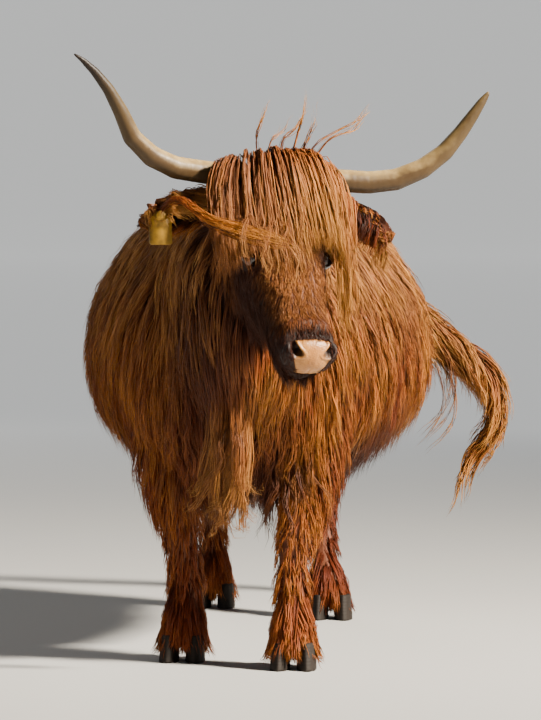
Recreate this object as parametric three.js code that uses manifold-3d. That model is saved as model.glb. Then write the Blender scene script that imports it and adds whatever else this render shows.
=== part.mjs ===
// A Highland cow at life size, standing, in its long coat. Millimetres, +Z up. The nose points
// along -Y, so +X is the cow's left. The group's origin is on the floor, under the middle of the
// whole model. Every solid reaches out to the tips of the coat that grows on it.
import * as THREE from "three";
import { mergeVertices } from "three/addons/utils/BufferGeometryUtils.js";
import Module from "manifold-3d";

const wasm = await Module();
wasm.setup();

// ---- driving sizes -------------------------------------------------------------------------
const WITHERS = 1165; // height of the back over the shoulders, coat included
const GIRTH_HALF = 460; // half the width of the barrel, coat included
const BELLY = 355; // the coat's lowest level under the barrel
const CHEST_Y = -775; // the front of the breast
const RUMP_Y = 885; // the back of the rump
const GAP = 0.35; // between two solids that meet

const POLL = new THREE.Vector3(106, -925, 1166); // the crest of the skull, between the horns
const HEAD_TURN = new THREE.Euler(
  THREE.MathUtils.degToRad(45), // the nose drops below the poll
  THREE.MathUtils.degToRad(4), // the left side of the head hangs a little
  THREE.MathUtils.degToRad(22.5), // the face turns to the cow's left
  "ZXY",
);
const FACE = 508; // poll to nose
const EYE = { side: 91, along: 208, level: -20, radius: 21 };
const MUZZLE_CUT = 392; // where the muzzle parts from the face, from the poll

const FORE = { foot: -527, half: 142 }; // where a pair of hooves stands, and half its track
const HIND = { foot: 690, half: 168 };
const HIND_LEAN = 12; // the hind shanks lean this far to the cow's right of their hooves
const STEP = { foreLeft: -78, foreRight: 77, hindLeft: -135, hindRight: 140 }; // hooves off square

const COLOURS = {
  coat: 0xa85a26,
  fringe: 0xc9853f,
  nose: 0xc9a184,
  horn: 0xe6d6b4,
  hoof: 0x6f665a,
  eye: 0x120b08,
  skin: 0xb98a70,
  tag: 0xd9b526,
};

// ---- making and cutting solids -------------------------------------------------------------
const X = new THREE.Vector3(1, 0, 0);
const Z = new THREE.Vector3(0, 0, 1);

// Values that run smoothly through the stations: at(t) gives the mixed station for t from 0 to 1.
function throughStations(stations) {
  const lengths = [0];
  for (let i = 1; i < stations.length; i++) {
    const [a, b] = [stations[i - 1], stations[i]];
    lengths.push(lengths[i - 1] + Math.hypot(b[0] - a[0], b[1] - a[1], b[2] - a[2]));
  }
  const curve = new THREE.CubicInterpolant(lengths, stations.flat(), stations[0].length);
  const end = lengths.at(-1);
  return (t) => Array.from(curve.evaluate(THREE.MathUtils.clamp(t, 0, 1) * end));
}

// A closed body along a spine: a sphere whose parallels become the sections. A station holds the
// section's centre x, y, z, then its reach to each side, over the spine and under it. round gives
// the share of the length that each end takes to round off. full gives how squarely the sections
// fill their corners over and under the spine, where 2 is round. upright keeps them vertical.
function loft(stations, options, grow = 0) {
  const { sides, rings, round = [0.1, 0.1], full = [2, 2], upright = false, side = X } = options;
  const at = throughStations(stations);
  const geometry = new THREE.SphereGeometry(1, sides, rings);
  const position = geometry.getAttribute("position");
  const point = new THREE.Vector3();
  for (let i = 0; i < position.count; i++) {
    point.fromBufferAttribute(position, i);
    const t = (1 + point.y) / 2;
    const [x, y, z, reachSide, reachOver, reachUnder] = at(t);
    const before = at(t - 0.01);
    const after = at(t + 0.01);
    const run = new THREE.Vector3(after[0] - before[0], after[1] - before[1], after[2] - before[2]);
    run.normalize();
    const over = upright ? Z : side.clone().cross(run).normalize();
    const across = run.clone().cross(over).normalize();
    const cap = Math.min(roundOff(t, round[0]), roundOff(1 - t, round[1]));
    const turn = Math.atan2(point.z, point.x);
    const power = 2 / full[point.z > 0 ? 0 : 1];
    const sideways = (reachSide + grow) * cap * fatten(Math.cos(turn), power);
    const reach = (point.z > 0 ? reachOver : reachUnder) + grow;
    const upward = reach * cap * fatten(Math.sin(turn), power);
    point.set(x, y, z).addScaledVector(across, sideways).addScaledVector(over, upward);
    point.addScaledVector(run, grow * (2 * t - 1));
    position.setXYZ(i, point.x, point.y, point.z);
  }
  return geometry;
}

function roundOff(t, share) {
  const left = 1 - Math.min(1, t / share);
  return Math.sqrt(1 - left * left);
}

function fatten(value, power) {
  return Math.sign(value) * Math.abs(value) ** power;
}

function solid(geometry, matrix) {
  const bare = geometry.clone();
  bare.deleteAttribute("normal");
  bare.deleteAttribute("uv");
  if (matrix) bare.applyMatrix4(matrix);
  const merged = mergeVertices(bare, 1e-3);
  const vertProperties = merged.getAttribute("position").array;
  return new wasm.Manifold(new wasm.Mesh({ numProp: 3, vertProperties, triVerts: merged.index.array }));
}

// The largest piece that is left of a form once its neighbours are cut away.
function carve(form, ...neighbours) {
  const left = neighbours.reduce((rest, neighbour) => rest.subtract(neighbour), form);
  return left.decompose().sort((a, b) => b.volume() - a.volume())[0];
}

function joined(forms) {
  return forms.reduce((all, form) => all.add(form));
}

function material(colour, roughness) {
  return new THREE.MeshStandardMaterial({ color: colour, roughness, metalness: 0 });
}

const MATERIALS = {
  coat: material(COLOURS.coat, 0.8),
  fringe: material(COLOURS.fringe, 0.75),
  nose: material(COLOURS.nose, 0.5),
  horn: material(COLOURS.horn, 0.4),
  hoof: material(COLOURS.hoof, 0.55),
  eye: material(COLOURS.eye, 0.08),
  skin: material(COLOURS.skin, 0.65),
  tag: material(COLOURS.tag, 0.45),
};

const cow = new THREE.Group();

function show(name, form, finish) {
  const made = form.getMesh();
  const geometry = new THREE.BufferGeometry();
  geometry.setAttribute("position", new THREE.BufferAttribute(made.vertProperties, 3));
  geometry.setIndex(new THREE.BufferAttribute(made.triVerts, 1));
  geometry.computeVertexNormals();
  const mesh = new THREE.Mesh(geometry, MATERIALS[finish]);
  mesh.name = name;
  cow.add(mesh);
}

// ---- trunk ---------------------------------------------------------------------------------
// A vertical section of the trunk from its top and bottom level, and the level where it is widest.
function trunkStation(y, half, top, widest, bottom) {
  return [0, y, widest, half, top - widest, widest - bottom];
}

function trunkForm(grow = 0) {
  const stations = [
    trunkStation(CHEST_Y, 170, WITHERS - 225, 740, 560),
    trunkStation(-650, 265, WITHERS - 70, 750, 435),
    trunkStation(-480, 335, WITHERS - 4, 750, 395), // withers
    trunkStation(-230, 405, WITHERS - 8, 740, BELLY + 14),
    trunkStation(60, 452, WITHERS - 28, 730, BELLY),
    trunkStation(280, GIRTH_HALF, WITHERS - 30, 732, BELLY + 6), // barrel
    trunkStation(480, 430, WITHERS - 22, 745, BELLY + 38),
    trunkStation(640, 372, WITHERS - 22, 780, 455), // hips
    trunkStation(790, 312, WITHERS - 58, 810, 530),
    trunkStation(RUMP_Y, 238, WITHERS - 150, 830, 610), // pin bones
  ];
  const options = { sides: 22, rings: 16, round: [0.09, 0.07], full: [2.3, 2.1], upright: true };
  return solid(loft(stations, options, grow));
}

// ---- head ----------------------------------------------------------------------------------
// The head is shaped in a frame of its own: the poll at its origin and the nose along -Y.
const headFrame = new THREE.Matrix4().makeRotationFromEuler(HEAD_TURN).setPosition(POLL);

// A section across the face, from its levels above and below the poll's own.
function faceStation(along, half, top, widest, bottom) {
  return [0, -along, widest, half, top - widest, widest - bottom];
}

function faceForm(grow = 0) {
  const stations = [
    faceStation(-55, 96, 34, -30, -110),
    faceStation(15, 118, 52, -30, -150), // poll
    faceStation(110, 118, 52, -40, -188),
    faceStation(EYE.along, 112, 36, -44, -200), // eyes
    faceStation(285, 94, 14, -60, -176),
    faceStation(360, 78, -2, -70, -140),
    faceStation(430, 74, -6, -70, -118), // muzzle
    faceStation(FACE, 68, -18, -66, -112), // nose
  ];
  const options = { sides: 18, rings: 14, round: [0.16, 0.06], full: [2.4, 2.4], upright: true };
  return solid(loft(stations, options, grow), headFrame);
}

function jawForm(grow = 0) {
  const stations = [
    faceStation(115, 60, -120, -172, -228),
    faceStation(215, 64, -110, -168, -232), // jaw angle
    faceStation(325, 56, -100, -138, -188),
    faceStation(420, 53, -90, -122, -160),
    faceStation(FACE - 22, 47, -95, -122, -154), // chin
  ];
  const options = { sides: 10, rings: 8, round: [0.18, 0.1], full: [2.2, 2.4], upright: true };
  return solid(loft(stations, options, grow), headFrame);
}

// A box in the head's frame that spans all that is further from the poll than along.
function beyond(along) {
  const depth = 300;
  const box = new THREE.BoxGeometry(400, depth, 500).translate(0, -along - depth / 2, -100);
  return solid(box, headFrame);
}

function nostril(side) {
  const pit = new THREE.SphereGeometry(1, 8, 5).scale(11, 22, 15);
  pit.rotateZ(side * 0.5).translate(side * 38, -FACE - 1, -42);
  return solid(pit, headFrame);
}

function eyeForm(side, grow = 0) {
  const ball = new THREE.SphereGeometry(EYE.radius + grow, 10, 7);
  return solid(ball.translate(side * EYE.side, -EYE.along, EYE.level), headFrame);
}

// ---- neck ----------------------------------------------------------------------------------
// The neck with its mane above and its dewlap below, from inside the shoulders to inside the head.
function neckForm(grow = 0) {
  const stations = [
    [0, -430, 865, 240, 290, 345],
    [15, -600, 900, 234, 262, 350],
    [42, -760, 962, 208, 222, 335],
    [74, -880, 1035, 178, 166, 245],
    [100, -975, 1082, 150, 132, 170],
  ];
  const side = X.clone().negate();
  const options = { sides: 16, rings: 8, round: [0.1, 0.2], full: [2.2, 2.2], side };
  return solid(loft(stations, options, grow));
}

// ---- ears ----------------------------------------------------------------------------------
// Where each ear starts and ends, in the frame of the body.
const EARS = {
  right: { base: [-2, -978, 1146], tip: [-208, -1040, 1088] },
  left: { base: [226, -888, 1136], tip: [408, -818, 1056] },
};

// Points part of the way out along an ear, each followed by the reach of the ear's section.
function earStations({ base, tip }, rows) {
  return rows.map(([share, forward, ...reach]) => {
    const [x, y, z] = base.map((value, i) => THREE.MathUtils.lerp(value, tip[i], share));
    return [x, y - forward, z, ...reach];
  });
}

function earSide({ base, tip }) {
  const run = new THREE.Vector3(...tip).sub(new THREE.Vector3(...base));
  return run.cross(Z).normalize();
}

function earForm(ear, grow = 0) {
  const stations = earStations(ear, [
    [-0.15, 0, 26, 30, 34],
    [0.2, 0, 30, 42, 50],
    [0.6, 0, 27, 50, 66],
    [1, 0, 16, 30, 46],
  ]);
  const options = { sides: 10, rings: 8, round: [0.2, 0.3], side: earSide(ear) };
  return solid(loft(stations, options, grow));
}

// The hollow is a slimmer leaf, pushed out through the ear's front.
function earHollow(ear) {
  const stations = earStations(ear, [
    [0.22, 30, 20, 24, 28],
    [0.5, 30, 20, 26, 32],
    [0.86, 30, 20, 22, 28],
  ]);
  const options = { sides: 8, rings: 5, round: [0.35, 0.35], side: earSide(ear) };
  return solid(loft(stations, options));
}

// ---- horns ---------------------------------------------------------------------------------
// Each horn leaves the poll sideways, then sweeps up. A row is a point and the radius there.
const HORNS = {
  right: [
    [60, -955, 1194, 30],
    [-46, -1002, 1207, 28],
    [-130, -1050, 1226, 27],
    [-198, -1098, 1284, 23],
    [-236, -1133, 1374, 16.5],
    [-292, -1171, 1452, 9.5],
    [-329, -1192, 1482, 4],
  ],
  left: [
    [165, -916, 1190, 30],
    [269, -872, 1185, 28],
    [384, -837, 1184, 27],
    [489, -817, 1232, 23.5],
    [554, -807, 1304, 18],
    [598, -801, 1369, 11.5],
    [620, -800, 1399, 5],
  ],
};

function hornForm(points, grow = 0) {
  const stations = points.map(([x, y, z, radius]) => [x, y, z, radius, radius, radius]);
  const side = new THREE.Vector3(0, 1, 0);
  return solid(loft(stations, { sides: 10, rings: 13, round: [0.05, 0.03], side }, grow));
}

// ---- locks of long hair --------------------------------------------------------------------
// One pointed lock through a few points, broad across and thin through.
function lock(points, broad, thin, side = X) {
  const last = points.length - 1;
  const stations = points.map((point, i) => {
    const taper = 1 - 0.72 * (i / last) ** 2;
    return [...point, broad * taper, thin * taper, thin * taper];
  });
  return loft(stations, { sides: 6, rings: 6, round: [0.12, 0.16], side });
}

// The forelock: locks that fan out from the poll and fall over the forehead and the eyes.
function forelockForm() {
  const count = 6;
  const locks = [];
  for (let i = 0; i < count; i++) {
    const fan = (2 * i) / (count - 1) - 1; // from the cow's right to its left
    const fall = 322 - 24 * Math.abs(fan) - 24 * (i % 2);
    const points = [
      [fan * 70, 62, 42],
      [fan * 106, 6, 112 - 36 * fan * fan],
      [fan * 130, -105, 92 - 60 * fan * fan],
      [fan * 146, -220, 54 - 66 * fan * fan],
      [fan * 152, -fall, 8 - 62 * fan * fan],
    ];
    locks.push(solid(lock(points, 44, 27), headFrame));
  }
  return joined(locks);
}

// The brisket's fringe: locks that hang from the dewlap between the forelegs.
function brisketForm() {
  const hang = [
    { x: -120, tip: 372 },
    { x: -62, tip: 318 },
    { x: 0, tip: 292 },
    { x: 62, tip: 326 },
    { x: 122, tip: 384 },
  ];
  const locks = hang.map(({ x, tip }) => {
    const points = [
      [x * 0.7, -690, 620],
      [x * 0.9, -722, 530],
      [x, -704, 440],
      [x * 1.02, -672, tip],
    ];
    return solid(lock(points, 48, 40));
  });
  return joined(locks);
}

// ---- legs ----------------------------------------------------------------------------------
// A leg swings from its hip, so each station follows the hoof by a share of its step.
function legStation(pair, sideOf, step, share, [side, back, level, half, behind, before]) {
  return [sideOf * side, pair.foot + back + step * share, level, half, behind, before];
}

function foreLegForm(sideOf, step, grow = 0) {
  const rows = [
    [0.1, [212, 45, 840, 92, 120, 110]], // shoulder
    [0.25, [205, 58, 640, 100, 135, 118]],
    [0.45, [184, 45, 480, 84, 100, 86]], // forearm
    [0.75, [148, 12, 335, 60, 62, 58]], // knee
    [0.9, [136, 14, 215, 49, 56, 46]], // cannon
    [1, [138, 12, 120, 57, 66, 50]], // fetlock
    [1, [142, -8, 70, 64, 60, 60]],
    [1, [142, -14, 40, 63, 52, 60]],
  ];
  const stations = rows.map(([share, row]) => legStation(FORE, sideOf, step, share, row));
  return solid(loft(stations, { sides: 10, rings: 13, round: [0.08, 0.03] }, grow));
}

function hindLegForm(sideOf, step, grow = 0) {
  const rows = [
    [0.0, [215, -70, 880, 110, 150, 130]], // hip
    [0.08, [224, -60, 700, 118, 192, 160]], // thigh
    [0.3, [208, 0, 560, 98, 150, 130]], // gaskin
    [0.58, [172, 72, 430, 55, 72, 64]], // hock
    [0.85, [158, 50, 270, 40, 54, 44]], // cannon
    [1, [162, 18, 130, 50, 62, 48]], // fetlock
    [1, [168, -6, 70, 62, 56, 58]],
    [1, [168, -12, 40, 61, 50, 58]],
  ];
  const stations = rows.map(([share, row]) => legStation(HIND, sideOf, step, share, row));
  for (const i of [3, 4, 5]) stations[i][0] -= HIND_LEAN;
  return solid(loft(stations, { sides: 10, rings: 13, round: [0.08, 0.03] }, grow));
}

// ---- hooves --------------------------------------------------------------------------------
const CLAW = { half: 28, apart: 30, length: 108, height: 66, splay: 0.09, back: 16 };

// One claw: a cylinder whose outline comes to a blunt toe, and whose wall slopes back.
function clawForm(footX, footY, sideOf, grow = 0) {
  const geometry = new THREE.CylinderGeometry(1, 1, 1, 12);
  geometry.rotateX(Math.PI / 2);
  const position = geometry.getAttribute("position");
  for (let i = 0; i < position.count; i++) {
    const [a, b, c] = [position.getX(i), position.getY(i), position.getZ(i)];
    const rise = c + 0.5; // 0 at the sole, 1 at the coronet
    const shrink = 1 - 0.16 * rise;
    const toe = b < 0 ? 1 - 0.22 * b * b : 1; // narrower towards the toe
    const inner = a * sideOf < 0 ? 0.8 : 1; // the faces between two claws are flatter
    position.setXYZ(
      i,
      a * (CLAW.half * inner * toe * shrink + grow),
      b * ((CLAW.length / 2) * shrink + grow) + CLAW.back * rise,
      rise * (CLAW.height + grow),
    );
  }
  geometry.rotateZ(sideOf * CLAW.splay);
  return solid(geometry.translate(footX + sideOf * CLAW.apart, footY - 22, 0));
}

function dewclawForm(footX, footY, sideOf, grow = 0) {
  const point = new THREE.SphereGeometry(1, 6, 4).scale(12 + grow, 13 + grow, 21 + grow);
  point.rotateX(-0.6);
  return solid(point.translate(footX + sideOf * 26, footY + 70, 90));
}

// ---- tail ----------------------------------------------------------------------------------
// The tail swings out to the cow's left, then hangs and curls in. It is parted in three lengths.
const TAIL = [
  [0, 820, 1070, 44, 44, 50],
  [60, 905, 1048, 42, 40, 58],
  [180, 955, 968, 44, 36, 84],
  [310, 966, 862, 46, 36, 100],
  [437, 964, 762, 48, 38, 96],
  [549, 975, 692, 50, 44, 88],
  [606, 972, 590, 48, 47, 70],
  [606, 966, 500, 40, 38, 50],
  [562, 960, 436, 26, 24, 28],
  [512, 958, 405, 14, 12, 14],
];
const TAIL_CUTS = [0.3, 0.56]; // shares of its length

function tailForm(grow = 0) {
  const side = new THREE.Vector3(0, -1, 0);
  return solid(loft(TAIL, { sides: 10, rings: 18, round: [0.04, 0.08], side }, grow));
}

// A flat block that starts at a share of the tail's length and reaches on past its tip.
function tailBeyond(share, back = 0) {
  const at = throughStations(TAIL);
  const [from, to] = [at(share - 0.02), at(share + 0.02)].map((s) => new THREE.Vector3(...s));
  const size = 700;
  const run = to.clone().sub(from).normalize();
  const turn = new THREE.Quaternion().setFromUnitVectors(X, run);
  const middle = from.clone().add(to).multiplyScalar(0.5).addScaledVector(run, size / 2 - back);
  const box = new THREE.BoxGeometry(size, size, size);
  return solid(box, new THREE.Matrix4().compose(middle, turn, new THREE.Vector3(1, 1, 1)));
}

// ---- udder ---------------------------------------------------------------------------------
function udderForm() {
  const bag = new THREE.SphereGeometry(1, 12, 7).scale(105, 125, 82).translate(0, 580, 452);
  const teats = [];
  for (const x of [-44, 44])
    for (const y of [540, 620]) {
      const teat = new THREE.SphereGeometry(1, 6, 4).scale(12, 12, 34);
      teats.push(solid(teat.translate(x, y, 384)));
    }
  return joined([solid(bag), ...teats]);
}

// ---- ear tag -------------------------------------------------------------------------------
// A flexible plate with round corners, hung by its neck from a stud through the right ear.
const TAG = { half: 27, drop: 62, corner: 7, thick: 2.4 };

const tagPlace = new THREE.Matrix4()
  .makeRotationFromEuler(new THREE.Euler(1.42, 0, 0.29, "ZYX"))
  .setPosition(-140, -1060, 1100);

function tagForm() {
  const outline = new THREE.Shape();
  outline.moveTo(-9, 16);
  outline.lineTo(9, 16);
  outline.lineTo(TAG.half, -6);
  outline.absarc(TAG.half - TAG.corner, TAG.corner - TAG.drop, TAG.corner, 0, -Math.PI / 2, true);
  outline.absarc(TAG.corner - TAG.half, TAG.corner - TAG.drop, TAG.corner, -Math.PI / 2, -Math.PI, true);
  outline.lineTo(-TAG.half, -6);
  const plate = new THREE.ExtrudeGeometry(outline, {
    depth: TAG.thick,
    bevelEnabled: false,
    curveSegments: 4,
  });
  const stud = new THREE.CylinderGeometry(11, 11, 8, 16).rotateX(Math.PI / 2);
  stud.translate(0, 6, TAG.thick + 2);
  return solid(plate, tagPlace).add(solid(stud, tagPlace));
}

// ---- assembly ------------------------------------------------------------------------------
const SIDES = [
  ["left", 1],
  ["right", -1],
];
const FEET = [
  ["fore_left", FORE, 1, STEP.foreLeft],
  ["fore_right", FORE, -1, STEP.foreRight],
  ["hind_left", HIND, 1, STEP.hindLeft],
  ["hind_right", HIND, -1, STEP.hindRight],
];

const trunkOuter = trunkForm(GAP);
const neckOuter = neckForm(GAP);
const faceOuter = faceForm(GAP);
const jawOuter = jawForm(GAP);
const hornOuters = SIDES.map(([name]) => hornForm(HORNS[name], GAP));
const eyeOuters = SIDES.map(([, side]) => eyeForm(side, GAP));
const earOuters = SIDES.map(([name]) => earForm(EARS[name], GAP));
const tailOuter = tailForm(GAP);

const legOuters = [];
for (const [name, pair, side, step] of FEET) {
  const footX = side * pair.half;
  const footY = pair.foot + step;
  const legForm = pair === FORE ? foreLegForm : hindLegForm;
  const horny = [];
  for (const [place, claw] of [["outer", side], ["inner", -side]]) {
    show(`hoof_${name}_${place}`, clawForm(footX, footY, claw), "hoof");
    show(`dewclaw_${name}_${place}`, dewclawForm(footX, footY, claw), "hoof");
    horny.push(clawForm(footX, footY, claw, GAP), dewclawForm(footX, footY, claw, GAP));
  }
  show(`leg_${name}`, carve(legForm(side, step), ...horny), "coat");
  legOuters.push(legForm(side, step, GAP));
}

show("trunk", carve(trunkForm(), ...legOuters), "coat");
show("udder", carve(udderForm(), trunkOuter, ...legOuters), "skin");
show("neck", carve(neckForm(), trunkOuter, faceOuter, jawOuter, ...legOuters), "coat");

const face = faceForm();
show("head", carve(face, beyond(MUZZLE_CUT), ...eyeOuters), "coat");
show("muzzle", carve(face.intersect(beyond(MUZZLE_CUT + GAP)), nostril(1), nostril(-1)), "nose");
show("lower_jaw", carve(jawForm(), faceOuter), "coat");

SIDES.forEach(([name, side], i) => {
  show(`eye_${name}`, eyeForm(side), "eye");
  show(`horn_${name}`, carve(hornForm(HORNS[name]), faceOuter, neckOuter), "horn");
  const ear = carve(earForm(EARS[name]), earHollow(EARS[name]), faceOuter, neckOuter, hornOuters[i]);
  show(`ear_${name}`, ear, "coat");
});
show("ear_tag", carve(tagForm(), earOuters[1], neckOuter, faceOuter, trunkOuter), "tag");

const aroundForelock = [faceOuter, neckOuter, ...hornOuters, ...eyeOuters, ...earOuters];
show("forelock", carve(forelockForm(), ...aroundForelock), "fringe");
show("brisket_fringe", carve(brisketForm(), trunkOuter, neckOuter, ...legOuters), "fringe");

const tail = carve(tailForm(), trunkOuter);
show("tail_root", carve(tail, tailBeyond(TAIL_CUTS[0])), "coat");
const tailMiddle = tail.intersect(tailBeyond(TAIL_CUTS[0], -GAP));
show("tail_middle", carve(tailMiddle, tailBeyond(TAIL_CUTS[1])), "coat");
show("tail_switch", carve(tail.intersect(tailBeyond(TAIL_CUTS[1], -GAP))), "fringe");

const bounds = new THREE.Box3().setFromObject(cow);
const centre = bounds.getCenter(new THREE.Vector3());
cow.position.set(-centre.x, -centre.y, 0);

export default cow;
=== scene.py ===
import math

import bmesh
import bpy
import numpy as np
from mathutils import Matrix, Vector, noise
from mathutils.bvhtree import BVHTree
from mathutils.kdtree import KDTree


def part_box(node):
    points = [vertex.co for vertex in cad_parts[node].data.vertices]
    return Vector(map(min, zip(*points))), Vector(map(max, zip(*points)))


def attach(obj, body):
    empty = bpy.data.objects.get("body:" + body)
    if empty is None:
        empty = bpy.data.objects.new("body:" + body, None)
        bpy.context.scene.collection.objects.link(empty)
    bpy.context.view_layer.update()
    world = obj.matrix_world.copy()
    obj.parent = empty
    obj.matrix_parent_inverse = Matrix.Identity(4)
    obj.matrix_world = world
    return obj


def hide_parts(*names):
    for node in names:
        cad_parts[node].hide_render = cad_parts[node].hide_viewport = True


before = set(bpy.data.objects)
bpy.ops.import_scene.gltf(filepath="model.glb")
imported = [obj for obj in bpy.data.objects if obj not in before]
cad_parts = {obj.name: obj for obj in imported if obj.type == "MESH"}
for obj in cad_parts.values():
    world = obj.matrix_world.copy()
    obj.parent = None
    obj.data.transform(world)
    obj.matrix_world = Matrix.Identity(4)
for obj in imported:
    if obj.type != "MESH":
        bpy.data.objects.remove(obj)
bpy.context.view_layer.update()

random = np.random.default_rng(41)

# ---- where the cow stands ------------------------------------------------------------------
# The cow's own frame has x = 0 in the middle of the trunk and y = 0 at the middle of the stance.
RUMP_Y = 0.885
trunk_low, trunk_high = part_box("trunk")
ORIGIN = Vector(((trunk_low.x + trunk_high.x) / 2, trunk_high.y - RUMP_Y, 0))

HEAD_TURN = (
    Matrix.Rotation(math.radians(22.5), 3, "Z")
    @ Matrix.Rotation(math.radians(45), 3, "X")
    @ Matrix.Rotation(math.radians(4), 3, "Y")
)
HEAD_X = 0.106
POLL = ORIGIN + Vector((HEAD_X, -0.925, 1.166))
EYE = Vector((0.091, -0.208, -0.020))
EYE_RADIUS = 0.021

HOME, POLL_PLACE, EYE_PLACE = np.array(ORIGIN), np.array(POLL), np.array(EYE)
to_head = np.array(HEAD_TURN.transposed())
from_head = np.array(HEAD_TURN)


def in_head(points):
    """Points in the head's frame: x to its left, -y to the nose, z up from the poll."""
    return (points - POLL_PLACE) @ to_head.T


def out_of_head(points):
    """Points of the head's frame in the model's own."""
    return points @ from_head.T + POLL_PLACE


# ---- camera, light and floor ---------------------------------------------------------------
CAMERA_BACK, CAMERA_ASIDE, CAMERA_HEIGHT = 11.74, 0.043, 1.305
CAMERA_TURN, CAMERA_DIP = 4, 2.86
LENS = 230.4
LAMP_SPREAD = 60
LAMP_TARGET = Vector((0, -0.2, 0.7))
FLOOR_RADIUS, BEND_RADIUS = 36.0, 8.0


def camera():
    """A long lens nearly straight ahead of the cow, a little above its back."""
    side_step = math.radians(CAMERA_TURN)
    right = Vector((math.cos(side_step), math.sin(side_step), 0))
    back = Vector((math.sin(side_step), -math.cos(side_step), 0))
    place = ORIGIN + CAMERA_BACK * back + CAMERA_ASIDE * right + Vector((0, 0, CAMERA_HEIGHT))
    data = bpy.data.cameras.new("camera")
    data.sensor_width = data.sensor_height = 36
    data.sensor_fit = "AUTO"
    data.lens = LENS
    data.clip_end = 100
    made = bpy.data.objects.new("camera", data)
    bpy.context.scene.collection.objects.link(made)
    made.location = place
    made.rotation_euler = (math.radians(90 - CAMERA_DIP), 0, side_step)
    bpy.context.scene.camera = made


def lamp(name, place, size, power, colour):
    """A square lamp that is aimed at the middle of the cow."""
    data = bpy.data.lights.new(name, "AREA")
    data.size = size
    data.energy = power
    data.color = colour
    data.spread = math.radians(LAMP_SPREAD)
    made = bpy.data.objects.new(name, data)
    bpy.context.scene.collection.objects.link(made)
    made.location = place
    aim = LAMP_TARGET - Vector(place)
    made.rotation_euler = aim.to_track_quat("-Z", "Y").to_euler()


def studio():
    """A warm key from the left, a faint cool fill, a rim from behind, and the floor."""
    lamp("key", (8.1, -3.2, 6.6), 1.2, 640, (1.0, 0.90, 0.75))
    lamp("fill", (-4.0, -8.0, 3.0), 4.0, 3.2, (0.66, 0.84, 1.0))
    lamp("rim", (-2.5, 6.0, 4.8), 3.0, 16, (1.0, 0.95, 0.88))
    world = bpy.data.worlds.new("studio")
    world.use_nodes = True
    sky = world.node_tree.nodes["Background"]
    sky.inputs["Color"].default_value = (0.80, 0.89, 1.0, 1)
    sky.inputs["Strength"].default_value = 0.04
    bpy.context.scene.world = world
    wide = FLOOR_RADIUS + BEND_RADIUS
    bpy.ops.mesh.primitive_circle_add(vertices=96, radius=wide, fill_type="NOTHING")
    floor = bpy.context.object
    floor.name = "floor"
    in_edit(floor, cove)
    bpy.ops.object.shade_smooth()
    floor.data.materials.append(floor_finish())


def cove():
    """From its rim the wall curves down and in to the floor, which closes it."""
    bpy.ops.mesh.select_mode(type="EDGE")
    bpy.ops.mesh.select_all(action="SELECT")
    bpy.ops.transform.translate(value=(0, 0, BEND_RADIUS))
    wide = FLOOR_RADIUS + BEND_RADIUS
    for turn in range(81, -1, -9):
        drop = BEND_RADIUS * (math.cos(math.radians(turn + 9)) - math.cos(math.radians(turn)))
        bpy.ops.mesh.extrude_region_move(TRANSFORM_OT_translate={"value": (0, 0, drop)})
        narrow = FLOOR_RADIUS + BEND_RADIUS * math.sin(math.radians(turn))
        bpy.ops.transform.resize(
            value=(narrow / wide, narrow / wide, 1), center_override=(0, 0, 0)
        )
        wide = narrow
    bpy.ops.mesh.edge_face_add()
    bpy.ops.mesh.select_all(action="SELECT")
    bpy.ops.mesh.normals_make_consistent(inside=True)


# ---- shader words --------------------------------------------------------------------------
class Value:
    """A number or colour that a shader works out, so that sums on it read as sums."""

    def __init__(self, finish, socket):
        self.finish = finish
        self.socket = socket

    def _math(self, operation, *values):
        return self.finish.node("ShaderNodeMath", {"operation": operation}, *values)

    def __add__(self, other):
        return self._math("ADD", self, other)

    def __sub__(self, other):
        return self._math("SUBTRACT", self, other)

    def __mul__(self, other):
        return self._math("MULTIPLY", self, other)

    def __rsub__(self, other):
        return self._math("SUBTRACT", other, self)


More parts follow.
